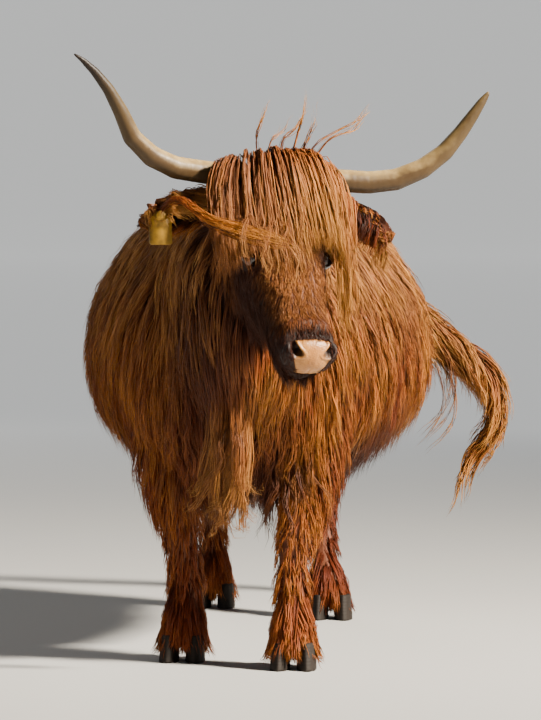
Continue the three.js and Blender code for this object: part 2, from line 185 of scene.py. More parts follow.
class Finish:
    """A material on one Principled shader, and the words that build what feeds it."""

    def __init__(self, name):
        self.material = bpy.data.materials.new(name)
        self.material.use_nodes = True
        self.tree = self.material.node_tree
        self.shader = self.tree.nodes["Principled BSDF"]

    def node(self, kind, settings, *values, out=0, **named):
        made = self.tree.nodes.new(kind)
        for key, value in settings.items():
            setattr(made, key, value)
        for key, value in list(enumerate(values)) + list(named.items()):
            socket = made.inputs[key.replace("_", " ") if isinstance(key, str) else key]
            self._feed(socket, value)
        return Value(self, made.outputs[out])

    def _feed(self, socket, value):
        if isinstance(value, Value):
            self.tree.links.new(value.socket, socket)
        elif isinstance(value, tuple) and len(value) == 3 and socket.type == "RGBA":
            socket.default_value = value + (1,)
        else:
            socket.default_value = value

    def wear(self, **values):
        for key, value in values.items():
            self._feed(self.shader.inputs[key.replace("_", " ")], value)
        return self.material

    def place(self):
        return self.node("ShaderNodeTexCoord", {}, out="Object")

    def trait(self, name):
        return self.node("ShaderNodeAttribute", {"attribute_name": name}, out="Fac")

    def facing(self):
        return self.node("ShaderNodeNewGeometry", {}, out="Normal")

    def noise(self, vector, scale, detail=2.0, roughness=0.5):
        return self.node(
            "ShaderNodeTexNoise", {}, Vector=vector, Scale=scale, Detail=detail, Roughness=roughness
        )

    def stretched(self, vector, x, y, z):
        return self.node("ShaderNodeMapping", {}, Vector=vector, Scale=(x, y, z))

    def spread(self, value, low, high, to_low=0.0, to_high=1.0):
        named = {"From_Min": low, "From_Max": high, "To_Min": to_low, "To_Max": to_high}
        return self.node("ShaderNodeMapRange", {}, Value=value, **named)

    def mix(self, factor, first, second, blend="MIX"):
        settings = {"data_type": "RGBA", "blend_type": blend}
        made = self.tree.nodes.new("ShaderNodeMix")
        for key, value in settings.items():
            setattr(made, key, value)
        for index, value in ((0, factor), (6, first), (7, second)):
            self._feed(made.inputs[index], value)
        return Value(self, made.outputs[2])

    def bump(self, height, strength, distance):
        return self.node(
            "ShaderNodeBump", {}, Height=height, Strength=strength, Distance=distance
        )


def srgb(code):
    """The linear colour of a six-digit sRGB code."""
    parts = [int(code[i : i + 2], 16) / 255 for i in (0, 2, 4)]
    return tuple(p / 12.92 if p <= 0.04045 else ((p + 0.055) / 1.055) ** 2.4 for p in parts)


def floor_finish():
    """A pale floor that glows softly from a few metres out, so that every side has light."""
    finish = Finish("pale_floor")
    far = finish.node("ShaderNodeVectorMath", {"operation": "LENGTH"}, finish.place(), out=1)
    glow = finish.mix(finish.spread(far, 1.5, 8.5), (0.0, 0.0, 0.0), srgb("c0c1c0"))
    finish.shader.inputs["Emission Strength"].default_value = 1.0
    return finish.wear(Base_Color=srgb("c3c3c2"), Roughness=0.7, Emission_Color=glow)


def hide_finish():
    """The hide under the coat: red-brown where hair covers it, bare on the nose and the udder."""
    finish = Finish("hide")
    place = finish.place()
    patches = finish.noise(place, 9.0, 4.0)
    haired = finish.mix(patches, srgb("4a210d"), srgb("7a3f1a"))
    speckle = finish.noise(place, 420.0, 2.0)
    freckle = finish.spread(speckle, 0.56, 0.68)
    bare = finish.mix(finish.noise(place, 38.0, 3.0), srgb("a0642e"), srgb("c88a40"))
    bare = finish.mix(freckle * 0.5, bare, srgb("4b2c1c"))
    colour = finish.mix(finish.trait("bare"), haired, bare)
    # Darker where the dark trait is set: dark skin, and painted shade round the eyes, in the nostrils,
    # along the mouth and on the body.
    colour = finish.mix(finish.trait("dark"), colour, srgb("1d0f0a"))
    cobbles = finish.node("ShaderNodeTexVoronoi", {}, Vector=place, Scale=240.0)
    height = cobbles * finish.trait("bare") + finish.noise(place, 160.0, 3.0) * 0.4
    roughness = finish.spread(finish.trait("bare"), 0.0, 1.0, 0.7, 0.38)
    return finish.wear(
        Base_Color=colour, Roughness=roughness, Normal=finish.bump(height, 0.45, 0.0012)
    )


# ---- mesh words ----------------------------------------------------------------------------
def alone(piece):
    """Makes this piece the only one selected."""
    bpy.ops.object.select_all(action="DESELECT")
    piece.select_set(True)
    bpy.context.view_layer.objects.active = piece


def in_edit(piece, *steps):
    """Runs the steps in edit mode on all of the piece."""
    alone(piece)
    bpy.ops.object.mode_set(mode="EDIT")
    bpy.ops.mesh.select_all(action="SELECT")
    for step in steps:
        step()
    bpy.ops.object.mode_set(mode="OBJECT")


def unit(vectors):
    """The vectors at a length of one."""
    return vectors / (np.linalg.norm(vectors, axis=-1, keepdims=True) + 1e-12)


def smoothstep(value, low, high):
    """Nothing up to low, one from high on, and smooth between."""
    t = np.clip((value - low) / (high - low), 0, 1)
    return t * t * (3 - 2 * t)


def positions(piece):
    found = np.empty(len(piece.data.vertices) * 3)
    piece.data.vertices.foreach_get("co", found)
    return found.reshape(-1, 3)


def place_points(piece, points):
    piece.data.vertices.foreach_set("co", points.ravel())
    piece.data.update()


def edges_of(piece):
    found = np.empty(len(piece.data.edges) * 2, np.int32)
    piece.data.edges.foreach_get("vertices", found)
    return found.reshape(-1, 2)


def triangles_of(piece):
    mesh = piece.data
    mesh.calc_loop_triangles()
    found = np.empty(len(mesh.loop_triangles) * 3, np.int32)
    mesh.loop_triangles.foreach_get("vertices", found)
    return found.reshape(-1, 3)


def faces_of(piece):
    return np.array([tuple(polygon.vertices) for polygon in piece.data.polygons])


def normals_of(points, triangles):
    """The outward direction at each point."""
    a, b, c = (points[triangles[:, i]] for i in range(3))
    faces = np.cross(b - a, c - a)
    found = np.zeros_like(points)
    for i in range(3):
        np.add.at(found, triangles[:, i], faces)
    return found / (np.linalg.norm(found, axis=1, keepdims=True) + 1e-12)


def relax(values, edges, times, share=0.5):
    """Each value moves towards the mean of its neighbours, so many times."""
    count = np.bincount(edges.ravel(), minlength=len(values)).astype(float)
    flat = values.reshape(len(values), -1)
    for _ in range(times):
        total = np.empty_like(flat)
        for i in range(flat.shape[1]):
            total[:, i] = np.bincount(edges[:, 0], flat[edges[:, 1], i], len(flat))
            total[:, i] += np.bincount(edges[:, 1], flat[edges[:, 0], i], len(flat))
        mean = total / np.maximum(count, 1)[:, None]
        flat = flat + share * (mean - flat)
    return flat.reshape(values.shape)


def set_trait(piece, name, values):
    """A number for each point, which a finish can read."""
    made = piece.data.attributes.new(name, "FLOAT", "POINT")
    made.data.foreach_set("value", np.asarray(values, np.float32))


# ---- the flesh solids, and how deep the coat lies on each ----------------------------------
LEGS = ["leg_fore_left", "leg_fore_right", "leg_hind_left", "leg_hind_right"]
TAIL = ["tail_root", "tail_middle", "tail_switch"]
EARS = ["ear_left", "ear_right"]
FACE = ["head", "muzzle", "lower_jaw"]
FLESH = ["trunk", "neck", "udder"] + FACE + LEGS + TAIL + EARS
TRUNK, NECK, UDDER, HEAD, MUZZLE, JAW = (FLESH.index(name) for name in FLESH[:6])
LEG_SOLIDS = [FLESH.index(name) for name in LEGS]
TAIL_SOLIDS = [FLESH.index(name) for name in TAIL]
EAR_SOLIDS = [FLESH.index(name) for name in EARS]


def flesh_copy():
    """One object with a copy of every flesh solid, and the solid's number for each face."""
    copies = []
    for name in FLESH:
        copy = bpy.data.objects.new(name + "_copy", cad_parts[name].data.copy())
        bpy.context.scene.collection.objects.link(copy)
        copies.append(copy)
    counts = [len(copy.data.polygons) for copy in copies]
    alone(copies[0])
    for copy in copies:
        copy.select_set(True)
    bpy.ops.object.join()
    joined = bpy.context.object
    joined.name = "skin"
    joined.data.materials.clear()
    return joined, np.repeat(np.arange(len(FLESH)), counts)


def tree_of(points, faces):
    return BVHTree.FromPolygons([Vector(point) for point in points], faces.tolist())


def nearest(tree, points):
    """The nearest face and its distance for each point."""
    faces = np.empty(len(points), int)
    distances = np.empty(len(points))
    for i, point in enumerate(points):
        _, _, faces[i], distances[i] = tree.find_nearest(point)
    return faces, distances


def coat_depth(points, solid_of):
    """How far under the tips of the coat the hide lies, in metres."""
    z = (points - HOME)[:, 2]
    along_face = -in_head(points)[:, 1]
    belly = smoothstep(-z, -0.62, -0.42)
    trunk = 0.036 + 0.020 * smoothstep(-z, -1.08, -0.95) + 0.030 * belly
    neck = 0.040 + 0.030 * smoothstep(-z, -1.02, -0.80)
    leg = 0.013 + 0.030 * smoothstep(z, 0.36, 0.66)
    head = 0.020 - 0.011 * smoothstep(along_face, 0.06, 0.20)
    of_solid = {"trunk": trunk, "neck": neck, "head": head, "muzzle": 0.0015, "udder": 0.004}
    of_solid["lower_jaw"] = 0.026 - 0.023 * smoothstep(along_face, 0.30, 0.44)
    of_solid.update({name: leg for name in LEGS})
    of_solid.update({name: 0.009 for name in EARS})
    of_solid.update(tail_root=0.014, tail_middle=0.018, tail_switch=0.032)
    depth = np.zeros(len(points))
    for number, name in enumerate(FLESH):
        depth = np.where(solid_of == number, of_solid[name], depth)
    return depth


def voxel_remesh(piece, size):
    alone(piece)
    piece.data.remesh_voxel_size = size
    piece.data.remesh_voxel_adaptivity = 0
    bpy.ops.object.voxel_remesh()


def room_inside(points, normals, triangles):
    """How far each point is from the far side of the body, straight in."""
    tree = tree_of(points, triangles)
    found = np.full(len(points), 0.5)
    for i, (point, normal) in enumerate(zip(points, normals)):
        inward = Vector(normal) * -1
        _, _, _, distance = tree.ray_cast(Vector(point) + inward * 0.002, inward, 0.5)
        if distance:
            found[i] = distance
    return found


def shrunk_hide():
    """The hide's shape: the flesh solids run together and taken in by the coat's depth."""
    skin, solid_of_face = flesh_copy()
    in_edit(skin, lambda: bpy.ops.mesh.remove_doubles(threshold=1e-5))
    outside = tree_of(positions(skin), faces_of(skin))
    voxel_remesh(skin, 0.013)
    points, edges, triangles = positions(skin), edges_of(skin), triangles_of(skin)
    points = relax(points, edges, 3)
    faces, _ = nearest(outside, points)
    depth = relax(coat_depth(points, solid_of_face[faces]), edges, 12)
    room = relax(room_inside(points, normals_of(points, triangles), triangles), edges, 4)
    depth = relax(np.minimum(depth, room * 0.30), edges, 3)
    steps = 8
    share = np.clip(depth / 0.07, 0.05, 0.6)[:, None]
    for _ in range(steps):
        points = relax(points, edges, 4, share)
        points = points - normals_of(points, triangles) * depth[:, None] / steps
    place_points(skin, points)
    voxel_remesh(skin, 0.0105)
    keep_largest(skin)
    return skin, outside, solid_of_face


def keep_largest(piece):
    """Deletes every loose bit but the one with the most vertices."""
    form = bmesh.new()
    form.from_mesh(piece.data)
    left, best = set(form.verts), []
    while left:
        island, reach = [], [left.pop()]
        while reach:
            vertex = reach.pop()
            island.append(vertex)
            for edge in vertex.link_edges:
                other = edge.other_vert(vertex)
                if other in left:
                    left.remove(other)
                    reach.append(other)
        best = max(best, island, key=len)
    spare = set(form.verts) - set(best)
    bmesh.ops.delete(form, geom=list(spare), context="VERTS")
    form.to_mesh(piece.data)
    form.free()


# ---- the head's own forms ------------------------------------------------------------------
def refine(skin, wanted):
    """Splits the wanted faces in four."""
    alone(skin)
    flags = wanted(middles_of(skin))
    bpy.ops.object.mode_set(mode="EDIT")
    bpy.ops.mesh.select_mode(type="FACE")
    bpy.ops.mesh.select_all(action="DESELECT")
    bpy.ops.object.mode_set(mode="OBJECT")
    skin.data.polygons.foreach_set("select", flags)
    bpy.ops.object.mode_set(mode="EDIT")
    bpy.ops.mesh.subdivide(number_cuts=1)
    bpy.ops.object.mode_set(mode="OBJECT")


def middles_of(piece):
    found = np.empty(len(piece.data.polygons) * 3)
    piece.data.polygons.foreach_get("center", found)
    return found.reshape(-1, 3)


def bump_at(local, centre, reach):
    """One at the centre, falling to nothing at the reach, which may differ along each axis."""
    apart = np.linalg.norm((local - np.array(centre)) / np.array(reach), axis=1)
    return np.clip(1 - apart**2, 0, 1) ** 2


def gauss(value, middle, width):
    """One at the middle, falling off smoothly over the width."""
    return np.exp(-(((value - middle) / width) ** 2))


EYE_OPENING = (0.0195, 0.0115)
NOSTRIL = (0.043, -0.500, -0.034)


def eye_oval(folded):
    """How far out from the middle of the eye's opening, where 1 is on the lids' edge."""
    along, level = folded[:, 1] - EYE.y, folded[:, 2] - EYE.z
    tilt = math.radians(-14)
    u = along * math.cos(tilt) + level * math.sin(tilt)
    v = level * math.cos(tilt) - along * math.sin(tilt)
    return np.hypot(u / EYE_OPENING[0], v / EYE_OPENING[1])


def nostril_oval(folded):
    """The same for the nostril, a comma that rises outwards."""
    x, z = folded[:, 0] - NOSTRIL[0], folded[:, 2] - NOSTRIL[2]
    turn = math.radians(35)
    u = x * math.cos(turn) + z * math.sin(turn)
    v = z * math.cos(turn) - x * math.sin(turn) - 18 * u * u
    return np.hypot(u / 0.0175, v / 0.0110)


def pad_mask(folded):
    """One on the bare nose between and under the nostrils, nothing on the haired muzzle."""
    side, along, level = folded[:, 0], -folded[:, 1], folded[:, 2]
    half = 0.047 - 0.012 * smoothstep(-level, 0.045, 0.085)
    inside = smoothstep(-side, -half, -half + 0.005)
    inside = inside * smoothstep(along, 0.461, 0.468)
    return inside * smoothstep(level, -0.100, -0.094)


def near_head(points):
    """Which points are on the face or close behind it."""
    local = in_head(points)
    side, along, level = np.abs(local[:, 0]), -local[:, 1], local[:, 2]
    return (side < 0.14) & (along > 0.02) & (level > -0.20) & (along < 0.6)


def from_eye(points):
    """How far each point is from the nearer eye's middle."""
    return np.linalg.norm(fold(in_head(points)) - EYE_PLACE, axis=1)


def near_eye_or_nose(points):
    """Which points of the face are round the eyes or on the nose."""
    return near_head(points) & ((-in_head(points)[:, 1] > 0.40) | (from_eye(points) < 0.055))


def near_eye(points):
    """Which points are on the lids."""
    return from_eye(points) < 0.036


def model_head(skin):
    """Brows, lids, cheeks, the step over the nose, nostrils, lips and chin."""
    refine(skin, near_head)
    refine(skin, near_eye_or_nose)
    refine(skin, near_eye)

    points, edges, triangles = positions(skin), edges_of(skin), triangles_of(skin)
    head = near_head(points)
    settled = relax(points, edges, 5)
    points[head] = settled[head]

    local = in_head(points)
    side = np.sign(local[:, 0])
    local = fold(local)
    normals = normals_of(points, triangles) @ to_head.T
    normals[:, 0] *= np.where(side < 0, -1, 1)

    rise = 0.008 * bump_at(local, (0.096, -0.180, 0.006), (0.035, 0.045, 0.030))  # brow
    rise += 0.006 * bump_at(local, (0.085, -0.150, -0.130), (0.09, 0.09, 0.07))  # cheek
    rise += 0.004 * bump_at(local, (0.075, -0.300, -0.062), (0.04, 0.10, 0.016))  # facial crest
    rise -= 0.005 * bump_at(local, (0.075, -0.320, -0.025), (0.05, 0.07, 0.022))
    rise -= 0.005 * bump_at(local, (0.060, -0.330, -0.100), (0.05, 0.07, 0.028))
    rise += 0.007 * bump_at(local, (0.056, -0.478, -0.040), (0.034, 0.034, 0.034))  # nostril's wing
    rise += 0.004 * bump_at(local, (0.000, -0.478, -0.140), (0.05, 0.035, 0.03))  # chin
    top = smoothstep(local[:, 2], -0.035, -0.015)
    along = -local[:, 1]
    rise -= 0.008 * gauss(along, 0.446, 0.014) * top  # the step over the nose
    rise += 0.004 * gauss(along, 0.415, 0.014) * top
    mouth_level = -0.103 + 0.10 * (0.50 - along)
    lips = smoothstep(along, 0.375, 0.395)
    rise -= 0.006 * gauss(local[:, 2], mouth_level, 0.0035) * lips
    rise += 0.0025 * gauss(local[:, 2], mouth_level + 0.010, 0.007) * lips
    rise += 0.0020 * gauss(local[:, 2], mouth_level - 0.010, 0.007) * lips
    rise -= 0.0015 * gauss(local[:, 0], 0, 0.003) * smoothstep(-local[:, 2], 0.06, 0.08) * lips
    rise += 0.0016 * pad_mask(local)
    rise = np.where(head, rise, 0)
    local = local + normals * rise[:, None]

    front = along > 0.462
    hole = nostril_oval(local)
    pit = np.where(front, 1 - smoothstep(hole, 0.35, 1.05), 0)
    local = local + pit[:, None] * np.array([-0.006, 0.024, -0.003])
    rim = np.where(front, gauss(hole, 1.25, 0.22), 0)
    local = local + normals * (rim * 0.002)[:, None]

    out = local - EYE_PLACE
    reach = np.linalg.norm(out, axis=1)
    way = out / (reach[:, None] + 1e-9)
    oval = eye_oval(local)
    facing = (local[:, 0] > EYE_PLACE[0] - 0.012) & (reach < 0.05)
    target = np.where(oval < 1, EYE_RADIUS * 0.80, EYE_RADIUS + 0.0022)
    target = target + 0.0012 * gauss(oval, 1.35, 0.15) - 0.002 * gauss(oval, 1.9, 0.2)
    share = np.where(facing, 1 - smoothstep(oval, 1.5, 2.6), 0)
    local = local + way * ((target - reach) * share)[:, None]

    local[:, 0] *= np.where(side < 0, -1, 1)
    place_points(skin, out_of_head(local))


def fold(local):
    """Both halves of the head laid on its left one."""
    return local * np.where(np.arange(3) == 0, np.sign(local[:, :1] + 1e-9), 1)


# ---- ears ----------------------------------------------------------------------------------
EAR_LINES = {
    -1: ((-0.002, -0.978, 1.146), (-0.208, -1.040, 1.088)),
    1: ((0.226, -0.888, 1.136), (0.408, -0.818, 1.056)),
}


def in_ear(points, side):
    """Points by an ear: the share of the way out, the height across it and the way forward."""
    base, tip = (HOME + np.array(end) for end in EAR_LINES[side])
    run = tip - base
    length = np.linalg.norm(run)
    run = run / length
    forward = unit(np.array([0, -1.0, 0.15]) - run * (run @ np.array([0, -1.0, 0.15])))
    up = np.cross(forward, run) * side
    apart = points - base
    return apart @ run / length, apart @ up, apart @ forward, forward


def cup_ears(skin, solids):
    """Presses the front of each ear in, so that a rim stands round its hollow."""
    points, triangles = positions(skin), triangles_of(skin)
    normals = normals_of(points, triangles)
    for side, solid in zip((1, -1), EAR_SOLIDS):
        out, height, _, forward = in_ear(points, side)
        width = 0.040 * (1 - 0.45 * smoothstep(out, 0.5, 1.1))
        bowl = np.clip(1 - (height / width) ** 2, 0, 1) ** 0.7
        bowl = bowl * smoothstep(out, 0.12, 0.35) * (1 - smoothstep(out, 0.85, 1.08))
        facing = smoothstep(normals @ forward, 0.0, 0.5) * (solids == solid)
        points = points - forward * (0.020 * bowl * facing)[:, None]
    place_points(skin, points)


# ---- the coat ------------------------------------------------------------------------------
BAKE_PATCH = 0.003
HAIR_FLATNESS = 0.36
HAIRS = {
    "trunk": 39500,
    "leg": 11500,
    "face": 15000,
    "forelock": 4250,
    "brisket": 1150,
    "ear": 2000,
    "tail": 2600,
}
DOWN = np.array([0, 0, -1.0])


def along_skin(vectors, normals):
    """The vectors laid flat on the skin."""
    return unit(vectors - (vectors * normals).sum(axis=1, keepdims=True) * normals)


class Roots:
    """Where hairs grow: places on the skin, the way out of it, and the solid that they grow on."""

    def __init__(self, points, normals, solids):
        self.points, self.normals, self.solids = points, normals, solids

    def only(self, keep):
        return Roots(self.points[keep], self.normals[keep], self.solids[keep])

    def __len__(self):
        return len(self.points)


class Hide:
    """The finished skin as arrays: where hair can root, and which way its surface faces."""

    def __init__(self, skin):
        self.points = positions(skin)
        self.triangles = triangles_of(skin)
        self.normals = unit(relax(normals_of(self.points, self.triangles), edges_of(skin), 6))
        corners = self.points[self.triangles]
        cross = np.cross(corners[:, 1] - corners[:, 0], corners[:, 2] - corners[:, 0])
        self.areas = np.linalg.norm(cross, axis=1) / 2
        self.middles = corners.mean(axis=1)
        self.tree = tree_of(self.points, self.triangles)
        faces, _ = nearest(outside, self.middles)
        self.solids = solid_of_face[faces]

    def on(self, *solids):
        return np.isin(self.solids, solids).astype(float)

    def scatter(self, count, weight):
        """Random roots on the skin, as many as count, thick where the weight is high."""
        share = self.areas * weight
        faces = random.choice(len(share), int(count), p=share / share.sum())
        u, v = random.random((2, int(count)))
        u, v = np.where(u + v > 1, 1 - u, u), np.where(u + v > 1, 1 - v, v)
        mix = np.stack([1 - u - v, u, v], axis=1)[:, :, None]
        corners = self.triangles[faces]
        points = (self.points[corners] * mix).sum(axis=1)
        normals = unit((self.normals[corners] * mix).sum(axis=1))
        return Roots(points, normals, self.solids[faces])

    def under(self, points):
        """The skin's nearest place, its outward direction there, and the height over it."""
        places = np.empty((len(points), 3))
        faces = np.empty(len(points), int)
        for i, point in enumerate(points):
            places[i], _, faces[i], _ = self.tree.find_nearest(point)
        normals = unit(self.normals[self.triangles[faces]].mean(axis=1))
        return places, normals, ((points - places) * normals).sum(axis=1)


class Chart:
    """An unwrap of the skin's shape, which tells each root its place on the bake's map."""

    def __init__(self, skin):
        copy = skin.copy()
        copy.data = skin.data.copy()
        bpy.context.scene.collection.objects.link(copy)
        voxel_remesh(copy, 0.022)
        in_edit(copy, lambda: bpy.ops.uv.smart_project(angle_limit=1.15, island_margin=0.004))
        corners = np.empty(len(copy.data.loops) * 2)
        copy.data.uv_layers.active.uv.foreach_get("vector", corners)
        copy.data.calc_loop_triangles()
        loops = np.empty(len(copy.data.loop_triangles) * 3, np.int32)
        copy.data.loop_triangles.foreach_get("loops", loops)
        self.places = corners.reshape(-1, 2)[loops.reshape(-1, 3)]
        points, triangles = positions(copy), triangles_of(copy)
        self.corners = points[triangles]
        self.tree = tree_of(points, triangles)
        bpy.data.objects.remove(copy)

    def of(self, points):
        found = np.empty((len(points), 2))
        for i, point in enumerate(points):
            place, _, face, _ = self.tree.find_nearest(point)
            a, b, c = self.corners[face]
            whole = np.cross(b - a, c - a)
            area = whole @ whole + 1e-18
            v = np.cross(np.array(place) - a, c - a) @ whole / area
            w = np.cross(b - a, np.array(place) - a) @ whole / area
            found[i] = np.array([1 - v - w, v, w]) @ self.places[face]
        return found


def kd_tree(points):
    tree = KDTree(len(points))
    for i, point in enumerate(points):
        tree.insert(point, i)
    tree.balance()
    return tree


def spaced(roots, gap):
    """Drops roots that stand closer than the gap, which may differ from root to root."""
    tree = kd_tree(roots.points)
    gap = np.broadcast_to(gap, len(roots))
    keep = np.ones(len(roots), bool)
    for i, point in enumerate(roots.points):
        if keep[i]:
            for _, j, _ in tree.find_range(point, gap[i]):
                keep[j] = j == i
    return roots.only(keep)


def body_lie(points, normals):
    """Hair parts along the back, then falls down and a little to the rear."""
    local = points - HOME
    level = np.clip(normals[:, 2], 0, 1)
    side = np.tanh(local[:, 0] / 0.05) * level
    back = 0.34 + 0.9 * gauss(local[:, 0], 0, 0.06) * level
    flow = np.stack([1.1 * side, back, np.full(len(points), -1.0)], axis=1)
    return along_skin(flow, normals)


def leg_lie(points, normals):
    """Hair runs down the legs and a little to the rear."""
    flow = np.tile([0, 0.22, -1.0], (len(points), 1)) + 0.25 * normals * [1, 1, 0]
    return along_skin(flow, normals)


def face_lie(points, normals):
    """Hair on the face runs down the nose and slants down over the cheeks."""
    side = (normals @ to_head.T)[:, 0]
    flow = np.stack([0.2 * side, -1.0 + 0.5 * np.abs(side), -0.7 * np.abs(side)], axis=1)
    return along_skin(flow @ from_head.T, normals)


TAIL_LINE = [
    (0.000, 0.820, 1.070),
    (0.060, 0.905, 1.048),
    (0.180, 0.955, 0.968),
    (0.310, 0.966, 0.862),
    (0.437, 0.964, 0.762),
    (0.549, 0.975, 0.692),
    (0.606, 0.972, 0.590),
    (0.606, 0.966, 0.500),
    (0.562, 0.960, 0.436),
    (0.512, 0.958, 0.405),
]


def tail_lie(points, normals):
    """Hair runs down the tail's own line."""
    line = np.array(TAIL_LINE) + HOME
    runs = unit(np.gradient(line, axis=0))
    apart = np.linalg.norm(points[:, None, :] - line[None], axis=2)
    share = np.exp(-((apart / 0.09) ** 2)) + 1e-9
    flow = unit(share @ runs)
    return along_skin(flow, normals)


def ear_lie(points, normals):
    """Hair runs out along each ear and hangs from its edges."""
    local = in_head(points)
    side = np.sign(local[:, 0])
    out = np.stack([side, np.zeros(len(points)), np.full(len(points), -0.25)], axis=1)
    flow = unit(out @ from_head.T) + DOWN * 0.30
    return along_skin(flow, normals)


def comb(hide, roots, lie, length, depth, sag=0.5, swirl=0.2, steps=12, give=0.02, lift=3.2):
    """The middle lines of locks: each lies along the skin, rises to the coat's depth and sags."""
    count = len(roots)
    step = (np.broadcast_to(length, count) / (steps - 1))[:, None]
    turn = np.tan(random.normal(0, swirl, count))[:, None]
    sag = np.broadcast_to(sag, count)[:, None]
    line = np.empty((count, steps, 3))
    line[:, 0] = roots.points
    places, normals, heights = roots.points, roots.normals, np.zeros(count)
    for k in range(1, steps):
        share = k / (steps - 1)
        flow = lie(places, normals)
        flow = unit(flow + turn * np.cross(normals, flow))
        loose = np.clip((heights - depth) / give, 0, 1)[:, None]
        fall = sag * share + (1 - sag * share) * loose
        flow = unit(flow * (1 - fall) + DOWN * fall)
        rise = depth * (1 - np.exp(-share * lift)) - heights
        least = np.where(loose[:, 0] > 0, -0.05, -0.6)
        rise = np.clip(rise / step[:, 0], least, 1.2)
        line[:, k] = line[:, k - 1] + unit(flow + rise[:, None] * normals) * step
        places, normals, heights = hide.under(line[:, k])
        sunk = np.clip(0.35 * depth * share + 0.0015 - heights, 0, None)
        line[:, k] += sunk[:, None] * normals
        heights = heights + sunk
    return line


def through(knots, at):
    """Points on a smooth curve through each row of knots, at these numbers of knots along it."""
    first, last = 2 * knots[:, :1] - knots[:, 1:2], 2 * knots[:, -1:] - knots[:, -2:-1]
    knots = np.concatenate([first, knots, last], axis=1)
    low = np.clip(at.astype(int), 0, knots.shape[1] - 4)
    t = (at - low)[:, :, None]
    rows = np.arange(len(knots))[:, None]
    a, b, c, d = (knots[rows, low + i] for i in range(4))
    bend = (2 * a - 5 * b + 4 * c - d) * t**2 + (3 * b - a - 3 * c + d) * t**3
    return 0.5 * (2 * b + (c - a) * t + bend)


def clear_of_skin(lines, least):
    """Lifts each line's points out of the skin, by at least this much past the root."""
    count, steps, _ = lines.shape
    _, normals, heights = hide.under(lines.reshape(-1, 3))
    share = np.tile(np.linspace(0, 1, steps), count)
    sunk = np.clip(least * np.clip(share * 4, 0, 1) - heights, 0, None)
    return lines + (sunk[:, None] * normals).reshape(count, steps, 3)


def sampled(lines, owner, ends, count):
    """Points at even shares along each owner's line, out to ends (a share of the whole)."""
    steps = lines.shape[1]
    at = np.linspace(0, 1, count)[None, :] * ends[:, None] * (steps - 1)
    low = np.clip(at.astype(int), 0, steps - 2)
    part = (at - low)[:, :, None]
    rows = owner[:, None]
    return lines[rows, low] * (1 - part) + lines[rows, low + 1] * part


def across_of(line, normals):
    """For each point of each line, the way across the hair, flat on the skin, and its thick way."""
    run = unit(np.gradient(line, axis=1))
    across = unit(np.cross(run, normals if normals.ndim == 3 else normals[:, None, :]))
    return across, np.cross(across, run)


def wavy(line, normals, length, size, pitch):
    """Sends each line into sideways and outward waves that grow from nothing at the root."""
    count, steps, _ = line.shape
    share = np.linspace(0, 1, steps)[None, :]
    length = np.broadcast_to(length, count)[:, None]
    start = random.random((count, 1)) * 2 * np.pi
    pace = length * share / (pitch * random.uniform(0.8, 1.25, (count, 1))) * 2 * np.pi
    grow = size * share * random.uniform(0.6, 1.3, (count, 1))
    across, out = across_of(line, normals)
    line = line + across * (grow * (np.sin(pace + start) - np.sin(start)))[:, :, None]
    return line + out * (grow * 0.6 * np.cos(pace + start))[:, :, None]


def tuft(guides, lines, roots, rings, gather=0.75, loose=0.004, frizz=0.0015):
    """Hairs that start at their own roots and gather to the nearest lock's line at its tip."""
    tree = kd_tree(guides.points)
    owner = np.array([tree.find(point)[1] for point in roots.points])
    ends = random.uniform(0.5, 1.0, len(roots)) ** 0.6
    share = np.linspace(0, 1, rings)[None, :, None]
    offset = (roots.points - guides.points[owner])[:, None, :]
    hair = sampled(lines, owner, ends, rings) + offset * (1 - gather * share**0.8)
    lift = random.normal(0, loose, (len(roots), 1, 1)) * np.sin(share * np.pi * 0.8)
    kink = random.normal(0, frizz, (len(roots), rings, 3)) * share
    stray = random.normal(0, 1, (len(roots), 1, 3)) * frizz * 3 * share**2
    return hair + lift * roots.normals[:, None, :] + kink + stray, owner


SECTION = np.array([[1.0, -0.3], [-1.0, -0.3], [0.0, 0.9]])


